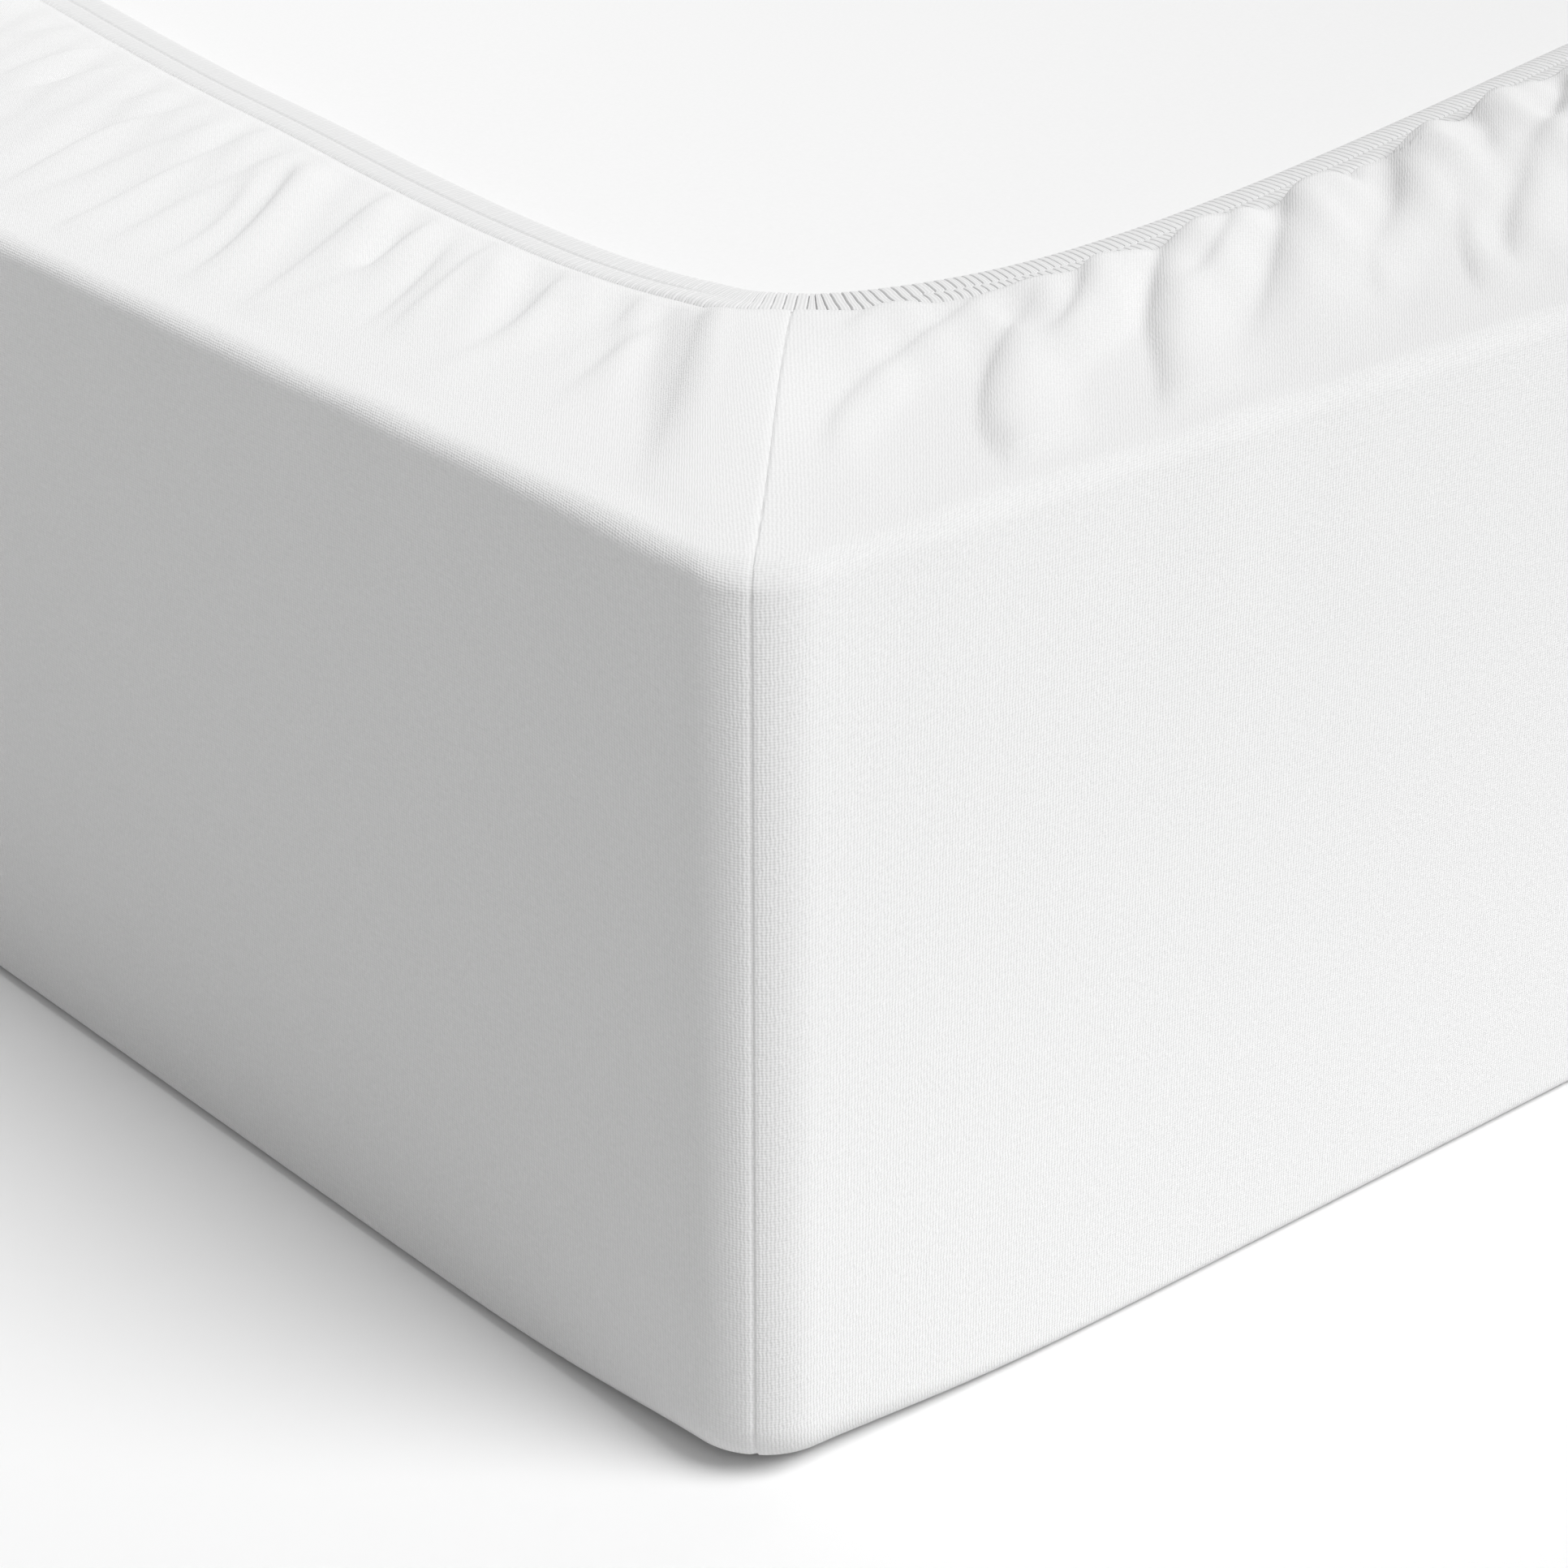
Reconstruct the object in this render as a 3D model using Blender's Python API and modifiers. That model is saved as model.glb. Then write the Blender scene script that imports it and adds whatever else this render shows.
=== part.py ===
"""A fitted sheet drawn over a mattress that lies with its sleeping side down.

The sheet is one shell of cloth: a flat panel under the mattress, four walls, and a border tucked in over the top,
where an elastic band gathers it into slanting folds. Metres, +Z up, the floor at z = 0, X along the long sides.

Each quarter of the plan is measured from its own corner: "along" a side and "in" from that side's wall. A thread
line starts on the wall and runs in over the top, leaning towards the side's middle as the elastic pulls it.
"""

import bpy
import numpy as np

# Driving dimensions. A roll is the radius of an edge, and the bottom one grows towards the corners, within
# about CORNER_REACH, because the mattress's own corners are rounder there.
LENGTH = 2.0
WIDTH = 1.4
HEIGHT = 0.2525
CLOTH = 0.002
GAP = 0.0003
CORNER_RADIUS = 0.020
TOP_ROLL = 0.010
BOTTOM_ROLL = 0.006
BOTTOM_ROLL_AT_CORNER = 0.018
CORNER_REACH = 0.065
EDGE_EASE = 0.002
BAND_WIDTH = 0.021
BAND_THICKNESS = 0.0020
BAND_RAISED = 0.0005

# The hem seen from above: (along the side, in from the wall), from the seam to the side's middle
HEM_LONG = (
    (0.1275, 0.1275), (0.138, 0.1200), (0.153, 0.1135), (0.173, 0.1080), (0.205, 0.1045), (0.240, 0.1055),
    (0.290, 0.1115), (0.345, 0.121), (0.410, 0.134), (0.500, 0.153), (0.600, 0.172), (0.750, 0.196),
    (1.000, 0.213),
)
HEM_SHORT = (
    (0.1275, 0.1275), (0.139, 0.117), (0.160, 0.1095), (0.195, 0.105), (0.235, 0.1055), (0.290, 0.110),
    (0.355, 0.118), (0.420, 0.125), (0.480, 0.1335), (0.540, 0.143), (0.620, 0.152), (0.700, 0.155),
)

# How high the tucked cloth stands over the mattress, and where along a side it reaches that height
PUFF_CORNER = 0.003
PUFF_LONG = 0.0075
PUFF_SHORT = 0.0045
PUFF_START = 0.030
PUFF_FULL = 0.130

# The cloth is flat up to EDGE_TAUT from the wall, stands free from EDGE_EASED, and comes down over HEM_EASED
EDGE_TAUT = 0.014
EDGE_EASED = 0.045
HEM_EASED = 0.030
SOFT_FLOOR = 0.001
SOFT_FLOOR_RUN = 0.0075

# Troughs of the front corner in millimetres from that corner, long side then short side:
# where each starts, where it ends, how far its middle bows to the left, half its width, its depth
FRONT_FOLDS = (
    # long0, short0, long1, short1, bow, half, depth
    (65, 52, 188, 108, 11, 6, 2.5),
    (90, 16, 197, 106, 12, 7, 5.5),
    (150, 20, 250, 112, 4, 9, 7.0),
    (195, 38, 305, 118, -4, 8, 5.0),
    (250, 52, 350, 122, 2, 8, 5.0),
    (300, 34, 395, 100, 3, 7, 4.5),
    (330, 72, 415, 134, 2, 7, 4.5),
    (372, 48, 462, 146, 3, 8, 5.0),
    (428, 40, 520, 156, 3, 8, 5.0),
    (12, 52, 108, 145, 2, 10, 3.5),
    (28, 156, 108, 176, 3, 6, 2.0),
    (30, 196, 92, 232, 2, 6, 3.0),
    (16, 234, 105, 286, 3, 6, 2.5),
    (20, 264, 90, 314, -2, 7, 3.5),
    (30, 306, 112, 342, 3, 7, 2.5),
    (25, 352, 116, 374, 4, 7, 2.5),
    (28, 398, 122, 412, 3, 7, 2.5),
    (30, 448, 130, 456, 0, 8, 2.5),
)

# The troughs elsewhere: one about every PITCH along a side, from the first to the side's middle
PITCH = 0.092
FIRST_FOLD = 0.062
FOLD_START = 0.022
FOLD_HALF = 0.017
FOLD_DEPTH_LONG = 0.0065
FOLD_DEPTH_SHORT = 0.0038
FOLD_SEED = 11
PLACE_SPREAD = (-0.12, 0.12)
START_SPREAD = (0.8, 1.6)
DEPTH_SPREAD = (0.7, 1.1)

# A trough fades in over the first part of its length, and out just past its end, as parts of its length
FADE_IN = 0.35
FADE_OUT = 0.15

# Thread lines: close together where the front corner's folds are, and two to a trough elsewhere.
# The walls keep one every CORNER_PITCH within CORNER_ZONE of a corner, and one every WALL_PITCH elsewhere.
FINE_PITCH = 0.0085
FRONT_REACH_LONG = 0.430
FRONT_REACH_SHORT = 0.470
HEM_TRIES = 40
ARC_STEPS = 3
ROLL_STEPS = 3
TUCK_STEPS = 7
WALL_PITCH = 0.09
CORNER_PITCH = 0.018
CORNER_ZONE = 0.110

MM = 0.001
HALF_LONG = LENGTH / 2
HALF_SHORT = WIDTH / 2
FRONT = (-1, -1)
CORNERS = (FRONT, (1, -1), (1, 1), (-1, 1))


def smooth(x):
    """0 up to x = 0, 1 from x = 1, and an S between them."""
    x = np.clip(x, 0, 1)
    return x * x * (3 - 2 * x)


def through(table, x):
    """A smooth curve through a hem's rows: a cubic between each two, with the slope that its neighbours give.
    It crosses the seam square to it and is level at the side's middle, as the hem's other half mirrors it."""
    xs, ys = np.array(table).T
    slopes = np.gradient(ys, xs)
    slopes[0], slopes[-1] = -1, 0
    i = np.clip(np.searchsorted(xs, x) - 1, 0, len(xs) - 2)
    step = xs[i + 1] - xs[i]
    t = np.clip((x - xs[i]) / step, 0, 1)
    rise = 3 * t**2 - 2 * t**3
    swing_in = (t**3 - 2 * t**2 + t) * step * slopes[i]
    swing_out = (t**3 - t**2) * step * slopes[i + 1]
    return ys[i] * (1 - rise) + ys[i + 1] * rise + swing_in + swing_out


def lean(along, is_long):
    """How far a thread line moves along its side for each metre in: 1 at the seam, 0 at the side's middle."""
    return np.where(is_long, 1 - (along / HALF_LONG) ** 2, 1 - along / HALF_SHORT)


def hem_depth(along, is_long, pull=0.0):
    """How far in a thread line runs before it meets the hem, found by going halfway to it each time."""
    depth = np.full_like(along, HEM_LONG[0][1])
    for _ in range(HEM_TRIES):
        reached = along + depth * lean(along, is_long)
        hem = np.where(is_long, through(HEM_LONG, reached), through(HEM_SHORT, reached))
        depth = (depth + hem - pull) / 2
    return depth


def side_folds(corner):
    """Where a corner's plain troughs start along its long side, and along its short side."""
    rng = np.random.default_rng(FOLD_SEED + corner[0] + 2 * corner[1])
    starts = []
    for half, reach in ((HALF_LONG, FRONT_REACH_LONG), (HALF_SHORT, FRONT_REACH_SHORT)):
        first = reach + PITCH / 2 if corner == FRONT else FIRST_FOLD
        count = round((half - first) / PITCH)
        places = np.linspace(first, half - PITCH / 2, count)
        starts.append(places + rng.uniform(*PLACE_SPREAD, count) * PITCH)
    return starts


def fold_rows(corner):
    """The troughs of one corner in metres, in FRONT_FOLDS' columns. A plain one follows its own thread line."""
    rng = np.random.default_rng(FOLD_SEED + 3 * corner[0] + 5 * corner[1])
    rows = [np.array(FRONT_FOLDS) * MM] if corner == FRONT else []
    for is_long, places in zip((True, False), side_folds(corner)):
        slant = lean(places, is_long)
        end = hem_depth(places, is_long)
        start = FOLD_START * rng.uniform(*START_SPREAD, len(places))
        depth = (FOLD_DEPTH_LONG if is_long else FOLD_DEPTH_SHORT) * rng.uniform(*DEPTH_SPREAD, len(places))
        outer, inner = (places + start * slant, start), (places + end * slant, end)
        ends = [*outer, *inner] if is_long else [*outer[::-1], *inner[::-1]]
        rows.append(np.stack([*ends, 0 * places, FOLD_HALF + 0 * places, depth], axis=1))
    return np.concatenate(rows)


def tuck_height(long, short, corner):
    """How high the tucked cloth stands over the top plane, at places measured from a corner.

    It rises from the taut edge, stays up, and comes down to the hem. Each trough is a bell across and fades
    out at its ends. What would reach below the plane is bent up to it.
    """
    is_long = long >= short
    along, inward = np.maximum(long, short), np.minimum(long, short)
    hem = np.where(is_long, through(HEM_LONG, along), through(HEM_SHORT, along))
    start = along - inward * lean(along - inward, is_long)
    side_puff = np.where(is_long, PUFF_LONG, PUFF_SHORT)
    crown = PUFF_CORNER + (side_puff - PUFF_CORNER) * smooth((start - PUFF_START) / (PUFF_FULL - PUFF_START))
    height = crown * smooth((inward - EDGE_TAUT) / (EDGE_EASED - EDGE_TAUT))
    for long0, short0, long1, short1, bow, half, depth in fold_rows(corner):
        run = np.hypot(long1 - long0, short1 - short0)
        to_long, to_short = (long1 - long0) / run, (short1 - short0) / run
        s = ((long - long0) * to_long + (short - short0) * to_short) / run
        bowed = 4 * bow * np.clip(s, 0, 1) * (1 - np.clip(s, 0, 1))
        across = (short - short0) * to_long - (long - long0) * to_short - bowed
        fade = smooth(s / FADE_IN) * smooth((1 + FADE_OUT - s) / FADE_OUT)
        height = height - depth * fade * np.exp(-((across / half) ** 2))
    height = (height + np.sqrt(height**2 + SOFT_FLOOR**2)) / 2
    return height * smooth((hem - inward) / HEM_EASED) * smooth((inward - EDGE_TAUT) / SOFT_FLOOR_RUN)


def thread_starts(corner, is_long):
    """Where the thread lines of half a side start, from its seam to its middle: round the corner's arc, then
    every FINE_PITCH over the front corner's folds, then on each plain trough and between each two."""
    angles = np.radians(np.linspace(45, 0, ARC_STEPS + 1))
    arc = CORNER_RADIUS * (1 - np.sin(angles))
    troughs = side_folds(corner)[0 if is_long else 1]
    ridges = (troughs[:-1] + troughs[1:]) / 2
    if corner == FRONT:
        near = np.arange(arc[-1] + FINE_PITCH, FRONT_REACH_LONG if is_long else FRONT_REACH_SHORT, FINE_PITCH)
    else:
        near = np.array([(arc[-1] + troughs[0]) / 2])
    middle = HALF_LONG if is_long else HALF_SHORT
    return np.concatenate([arc, near, np.sort(np.concatenate([troughs, ridges])), [middle]])


def thread_lines():
    """Every thread line once, counter-clockwise from the front corner's seam, as arrays by name."""
    turns = (
        (FRONT, True), ((1, -1), True), ((1, -1), False), ((1, 1), False),
        ((1, 1), True), ((-1, 1), True), ((-1, 1), False), (FRONT, False),
    )
    lines = {"along": [], "is_long": [], "corner": [], "on_arc": []}
    for turn, (corner, is_long) in enumerate(turns):
        starts = thread_starts(corner, is_long)
        # Even turns run from their seam to the middle, odd ones from the middle to short of the next seam
        order = slice(None, -1) if turn % 2 == 0 else slice(None, 0, -1)
        lines["along"].append(starts[order])
        lines["on_arc"].append((np.arange(len(starts)) <= ARC_STEPS)[order])
        lines["is_long"].append(np.full(len(starts) - 1, is_long))
        lines["corner"].append(np.tile(corner, (len(starts) - 1, 1)))
    return {name: np.concatenate(parts) for name, parts in lines.items()}


def wall_lines(lines):
    """The thread lines that the plain walls need: all near a corner, then one about every WALL_PITCH."""
    kept, last = [], np.inf
    for index, along in enumerate(lines["along"]):
        pitch = CORNER_PITCH if along < CORNER_ZONE else WALL_PITCH
        if lines["on_arc"][index] or abs(along - last) >= pitch:
            kept.append(index)
            last = along
    return np.array(kept)


def place(lines, along, inward, height):
    """World points of places measured from each line's own corner."""
    long = np.where(lines["is_long"], along, inward)
    short = np.where(lines["is_long"], inward, along)
    x = lines["corner"][:, 0] * (HALF_LONG - long)
    y = lines["corner"][:, 1] * (HALF_SHORT - short)
    return np.stack([x, y, height + 0 * x], axis=1)


def wall_foot(lines, ease):
    """Where each line starts on a wall whose corner radius is eased: (along, how far the arc pulls it in)."""
    radius = CORNER_RADIUS + ease
    along = np.where(lines["on_arc"], lines["along"] * radius / CORNER_RADIUS, lines["along"])
    short_of = np.clip(radius - along, 0, radius)
    return along, radius - np.sqrt(radius**2 - short_of**2)


def rolled_rings(lines, inset, ease):
    """Rings up a rounded block, from the edge of its flat bottom to the edge of its flat top.

    inset is how far its faces lie inside the sheet's, and ease is what its radii add to the sheet's.
    """
    along, pull = wall_foot(lines, ease)
    slant = lean(along, lines["is_long"])
    near_corner = np.exp(-((along / CORNER_REACH) ** 2))
    bottom = BOTTOM_ROLL + (BOTTOM_ROLL_AT_CORNER - BOTTOM_ROLL) * near_corner + ease
    top = TOP_ROLL + ease
    turned = np.radians(np.linspace(0, 90, ROLL_STEPS + 1))
    steps = [(bottom * (1 - np.sin(a)), inset + bottom * (1 - np.cos(a))) for a in turned]
    steps += [(top * (1 - np.cos(a)), HEIGHT - inset - top * (1 - np.sin(a))) for a in turned]
    return [
        place(lines, along + inset + inward * slant, pull + inset + inward, height) for inward, height in steps
    ]


def tuck_rings(lines):
    """Rings of the tucked border, from the top roll to the hem."""
    along, pull = wall_foot(lines, 0)
    slant = lean(along, lines["is_long"])
    depth = hem_depth(along, lines["is_long"], pull)
    rings = []
    for part in np.arange(1, TUCK_STEPS + 1) / TUCK_STEPS:
        inward = TOP_ROLL + (depth - TOP_ROLL) * part
        reached, inside = along + inward * slant, pull + inward
        height = np.zeros(len(along))
        for corner in CORNERS:
            here = (lines["corner"] == corner).all(axis=1)
            long = np.where(lines["is_long"], reached, inside)[here]
            short = np.where(lines["is_long"], inside, reached)[here]
            height[here] = tuck_height(long, short, corner)
        rings.append(place(lines, reached, inside, HEIGHT + height))
    return rings


def bands_between(rings):
    """Quads between each ring and the next, where a ring is a list of point numbers."""
    faces = []
    for low, high in zip(rings[:-1], rings[1:]):
        faces += np.stack([low, np.roll(low, -1), np.roll(high, -1), high], axis=1).tolist()
    return faces


def cloth_material(name, colour, roughness, sheen):
    material = bpy.data.materials.new(name)
    material.use_nodes = True
    shader = material.node_tree.nodes["Principled BSDF"]
    shader.inputs["Base Color"].default_value = (*colour, 1)
    shader.inputs["Roughness"].default_value = roughness
    shader.inputs["Metallic"].default_value = 0
    shader.inputs["Sheen Weight"].default_value = sheen
    material.diffuse_color = (*colour, 1)
    return material


def add_object(name, points, faces, material, collection):
    mesh = bpy.data.meshes.new(name)
    mesh.from_pydata(points.tolist(), [], faces)
    mesh.materials.append(material)
    mesh.shade_smooth()
    obj = bpy.data.objects.new(name, mesh)
    collection.objects.link(obj)
    return obj


def thicken(obj, thickness):
    """Gives an open surface its thickness, towards its back."""
    solidify = obj.modifiers.new("thickness", "SOLIDIFY")
    solidify.thickness = thickness
    solidify.offset = -1
    solidify.use_even_offset = True


def make_sheet(lines, posts, collection):
    """The cloth's outer face: floor panel, bottom roll, wall, top roll and tuck. The walls need few lines, so
    each wall face runs from one post to the next and takes in every thread line above it."""
    rolled = rolled_rings(lines, 0, 0)
    rings = [ring[posts] for ring in rolled[: ROLL_STEPS + 1]] + rolled[ROLL_STEPS + 1 :] + tuck_rings(lines)
    starts = np.cumsum([0] + [len(ring) for ring in rings])
    numbers = [np.arange(start, start + len(ring)) for start, ring in zip(starts, rings)]
    below, above = numbers[: ROLL_STEPS + 1], numbers[ROLL_STEPS + 1 :]
    faces = [below[0][::-1].tolist()] + bands_between(below) + bands_between(above)
    for post, line in enumerate(posts):
        following = (post + 1) % len(posts)
        last = posts[following] if following else len(lines["along"])
        tops = above[0][np.arange(line, last + 1) % len(lines["along"])]
        faces.append([int(below[-1][post]), int(below[-1][following]), *tops[::-1].tolist()])
    white = cloth_material("white_cotton_knit", (0.86, 0.86, 0.86), 0.9, 0.3)
    sheet = add_object("sheet_cloth", np.concatenate(rings), faces, white, collection)
    thicken(sheet, CLOTH)
    return rings[-1]


def make_band(hem, collection):
    """The elastic band along the hem's inner side: two rows with a stitched groove between them."""
    ahead = np.roll(hem, -1, axis=0) - np.roll(hem, 1, axis=0)
    inwards = np.stack([-ahead[:, 1], ahead[:, 0], 0 * ahead[:, 0]], axis=1)
    inwards /= np.linalg.norm(inwards, axis=1, keepdims=True)
    groove = HEIGHT - CLOTH + BAND_THICKNESS
    strip = []
    for out, lift in ((0, BAND_RAISED), (0.5, 0), (1, BAND_RAISED)):
        ring = hem + inwards * (GAP + BAND_WIDTH * out)
        ring[:, 2] = groove + lift
        strip.append(ring)
    numbers = np.arange(len(strip) * len(hem)).reshape(len(strip), -1)
    ribbed = cloth_material("woven_elastic", (0.88, 0.88, 0.88), 0.8, 0.1)
    band = add_object("elastic_band", np.concatenate(strip), bands_between(numbers), ribbed, collection)
    thicken(band, BAND_THICKNESS)


def make_mattress(lines, posts, collection):
    """The plain mattress, closed top and bottom. It lies GAP inside the cloth's flat parts, and its edges are
    rounder than the cloth's, so that the cloth clears them by CLOTH."""
    rings = [ring[posts] for ring in rolled_rings(lines, CLOTH + GAP, EDGE_EASE)]
    numbers = np.arange(len(rings) * len(posts)).reshape(len(rings), -1)
    faces = [numbers[0][::-1].tolist(), *bands_between(numbers), numbers[-1].tolist()]
    ticking = cloth_material("mattress_ticking", (0.90, 0.90, 0.90), 0.85, 0.1)
    add_object("mattress", np.concatenate(rings), faces, ticking, collection)


def main():
    for old in list(bpy.data.objects):
        bpy.data.objects.remove(old)
    collection = bpy.data.collections.new("fitted sheet on a mattress")
    bpy.context.scene.collection.children.link(collection)
    lines = thread_lines()
    posts = wall_lines(lines)
    hem = make_sheet(lines, posts, collection)
    make_band(hem, collection)
    make_mattress(lines, posts, collection)


main()
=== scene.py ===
# %% [markdown]
# # A white fitted sheet on a mattress
#
# A fitted sheet has four sewn corners and an elastic round its open mouth. This one is drawn over a
# mattress that lies upside down, so the mouth is on top and the elastic shows how it gathers the border into
# folds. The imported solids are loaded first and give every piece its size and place.

import math

import bpy
import numpy as np
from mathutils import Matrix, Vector


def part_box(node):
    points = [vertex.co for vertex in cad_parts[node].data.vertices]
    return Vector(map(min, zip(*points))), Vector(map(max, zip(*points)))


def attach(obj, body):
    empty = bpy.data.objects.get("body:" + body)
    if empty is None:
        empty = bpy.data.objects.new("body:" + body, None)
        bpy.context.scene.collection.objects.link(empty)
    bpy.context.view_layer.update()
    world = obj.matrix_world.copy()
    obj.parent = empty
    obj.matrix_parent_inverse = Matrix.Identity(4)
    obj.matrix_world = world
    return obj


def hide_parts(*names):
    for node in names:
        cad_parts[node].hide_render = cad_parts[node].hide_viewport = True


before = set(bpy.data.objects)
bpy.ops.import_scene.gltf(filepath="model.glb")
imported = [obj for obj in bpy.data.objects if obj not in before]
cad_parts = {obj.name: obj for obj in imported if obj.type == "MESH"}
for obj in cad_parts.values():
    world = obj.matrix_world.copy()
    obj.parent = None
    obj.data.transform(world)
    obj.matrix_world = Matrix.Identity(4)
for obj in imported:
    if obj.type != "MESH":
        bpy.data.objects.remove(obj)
bpy.context.view_layer.update()

# %% [markdown]
# ## Sizes
#
# The sheet's outline and the height of the top plane come from the solids. The rest are the sizes a maker
# would name. Each side is measured from its own corner: "along" the side, and "in" from its wall. Where the
# sides differ, a pair of values holds the long side's first.

# %% Sizes in metres
MM = 0.001
BAND_RAISED = 0.0005
sheet_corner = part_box("sheet_cloth")[1]
HALF_LONG = round(sheet_corner.x, 5)
HALF_SHORT = round(sheet_corner.y, 5)
HALVES = (HALF_LONG, HALF_SHORT)
TOP = round(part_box("elastic_band")[1].z - BAND_RAISED, 5)
CLOTH = 0.0010
CLOTH_OF_SOLID = 0.002
GAP = 0.0003
CORNER_RADIUS = 0.020
ARC = CORNER_RADIUS * math.pi / 4
TOP_ROLL = 0.0065
BOTTOM_ROLL = 0.006
BOTTOM_ROLL_AT_CORNER = 0.018
CORNER_REACH = 0.065
FRONT = (-1, -1)
CORNERS = (FRONT, (1, -1), (1, 1), (-1, 1))
print(f"half sides {HALF_LONG} and {HALF_SHORT} m, top plane at {TOP} m")

# %% [markdown]
# ## The hem
#
# The elastic pulls the border inwards: the hem swings round each corner in a wide curve and runs deepest at
# the middle of each side. A few measured places and a smooth curve through them describe it.

# %% The hem, seen from above: (along the side, in from the wall), from the seam to the side's middle
HEM_LONG = (
    (0.1255, 0.1255), (0.1365, 0.1180), (0.152, 0.1115), (0.173, 0.1060), (0.205, 0.1027), (0.240, 0.1037),
    (0.290, 0.1097), (0.345, 0.1192), (0.410, 0.1322), (0.500, 0.1512), (0.600, 0.1702), (0.750, 0.1945),
    (1.000, 0.2120),
)
HEM_SHORT = (
    (0.1255, 0.1255), (0.1375, 0.1148), (0.160, 0.1070), (0.195, 0.1025), (0.235, 0.1030), (0.290, 0.1075),
    (0.355, 0.1155), (0.420, 0.1225), (0.480, 0.1310), (0.540, 0.1405), (0.620, 0.1500), (0.700, 0.1535),
)


def smooth(x, start=0, end=1):
    """0 up to start, 1 from end on, and the S curve 3t^2 - 2t^3 between them."""
    t = np.clip((x - start) / (end - start), 0, 1)
    return t * t * (3 - 2 * t)


def through(table, x):
    """A smooth curve through a hem's rows, square to the seam and level at the side's middle."""
    xs, ys = np.array(table).T
    slopes = np.gradient(ys, xs)
    slopes[0], slopes[-1] = -1, 0
    i = np.clip(np.searchsorted(xs, x) - 1, 0, len(xs) - 2)
    step = xs[i + 1] - xs[i]
    t = np.clip((x - xs[i]) / step, 0, 1)
    rise = 3 * t**2 - 2 * t**3
    swing_in = (t**3 - 2 * t**2 + t) * step * slopes[i]
    swing_out = (t**3 - t**2) * step * slopes[i + 1]
    return ys[i] * (1 - rise) + ys[i + 1] * rise + swing_in + swing_out


def hem_at(along, is_long):
    """How far in the hem lies at a place along a long or a short side."""
    return np.where(is_long, through(HEM_LONG, along), through(HEM_SHORT, along))


print("hem at the middle of the sides", hem_at(HALF_LONG, True), "and", hem_at(HALF_SHORT, False), "m in")

# %% [markdown]
# ## Thread lines
#
# A knit has wales, fine ribs that run up the cloth. Here they climb the walls, turn over the edge and lean
# towards the middle of the side, pulled by the elastic, and the folds lie along them. The mesh has a column
# of points on each such line, close together round the front corner and further apart elsewhere.

# %% Thread lines, from one corner seam to the next, all the way round
FINE_PITCH = (0.0019, 0.0016)
FINE_REACH = (0.400, 0.560)
PLAIN_PITCH = 0.0068
SEAM_STEPS = np.array((0, 0.15, 0.3, 0.5, 0.8, 1.2, 1.7, 2.4, 3.3, 4.5, 6.0, 8.0, 10.0, 12.0, 14.0)) * MM
HEM_TRIES = 40
# Half sides as (corner, whether it is a long side): even ones leave their seam, odd ones come back to theirs
TURNS = (
    (FRONT, True), ((1, -1), True), ((1, -1), False), ((1, 1), False),
    ((1, 1), True), ((-1, 1), True), ((-1, 1), False), (FRONT, False),
)


def lean(along, is_long):
    """Metres that a line moves along its side for each metre in: 1 at the corner, 0 at the side's middle."""
    share = np.clip(along - CORNER_RADIUS, 0, None) / (np.where(is_long, *HALVES) - CORNER_RADIUS)
    return 1 - np.where(is_long, share**2, share)


def half_side(is_long):
    """Length of half a side, from its seam to its middle."""
    return ARC + np.where(is_long, *HALVES) - CORNER_RADIUS


def foot(way, inset=0.0):
    """Where a line starts, (along, in), from its way along the wall from the seam, for an outline that lies
    inset inside the wall. On the corner's arc the angle shrinks from 45 degrees to 0."""
    angle = np.clip(math.pi / 4 - way / CORNER_RADIUS, 0, None)
    along = CORNER_RADIUS * (1 - np.sin(angle)) + np.clip(way - ARC, 0, None)
    return along + inset * np.sin(angle), CORNER_RADIUS * (1 - np.cos(angle)) + inset * np.cos(angle)


def starts_of(corner, is_long):
    """Ways of the thread lines of half a side, from its seam to its middle."""
    pitch, end = np.where(is_long, *FINE_PITCH), half_side(is_long)
    fine = np.arange(SEAM_STEPS[-1] + pitch, np.where(is_long, *FINE_REACH), pitch)
    near = np.concatenate([SEAM_STEPS, fine if corner == FRONT else fine[:0]])
    count = round((end - near[-1]) / PLAIN_PITCH)
    return np.concatenate([near, np.linspace(near[-1], end, count + 1)[1:]])


def one_side(corner, is_long, count):
    """What the places on one side have in common, as arrays by name."""
    return {"is_long": np.full(count, is_long), "corner": np.tile(corner, (count, 1))}


def thread_lines():
    """Every thread line once, counter-clockwise from the front seam, as arrays by name. "way" is from the
    line's own seam, "round" is round the whole sheet, and "outwards" is 1 where both grow, else -1."""
    sides = []
    passed = 0.0
    for turn, (corner, is_long) in enumerate(TURNS):
        back, end = turn % 2 == 1, half_side(is_long)
        ways = starts_of(corner, is_long)
        # The middle belongs to the half side that comes after it, and a seam to the one that leaves it
        ways = ways[:0:-1] if back else ways[:-1]
        sides.append(one_side(corner, is_long, len(ways)) | {
            "way": ways,
            "round": passed + (end - ways if back else ways),
            "fine": (corner == FRONT) & (ways < np.where(is_long, *FINE_REACH)),
            "outwards": np.full(len(ways), -1 if back else 1),
        })
        passed += end
    lines = {name: np.concatenate([side[name] for side in sides]) for name in sides[0]}
    lines["all_round"] = passed
    return lines


def depth_to_hem(along, pull, is_long):
    """How far in a thread line runs before it meets the hem, found by going halfway to it each time."""
    depth = np.full_like(along, HEM_LONG[0][1])
    for _ in range(HEM_TRIES):
        reached = along + depth * lean(along, is_long)
        depth = (depth + hem_at(reached, is_long) - pull) / 2
    return depth


def long_and_short(is_long, along, inward):
    """The same places as (metres along the long side, metres along the short side) from the corner."""
    return np.where(is_long, along, inward), np.where(is_long, inward, along)


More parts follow.
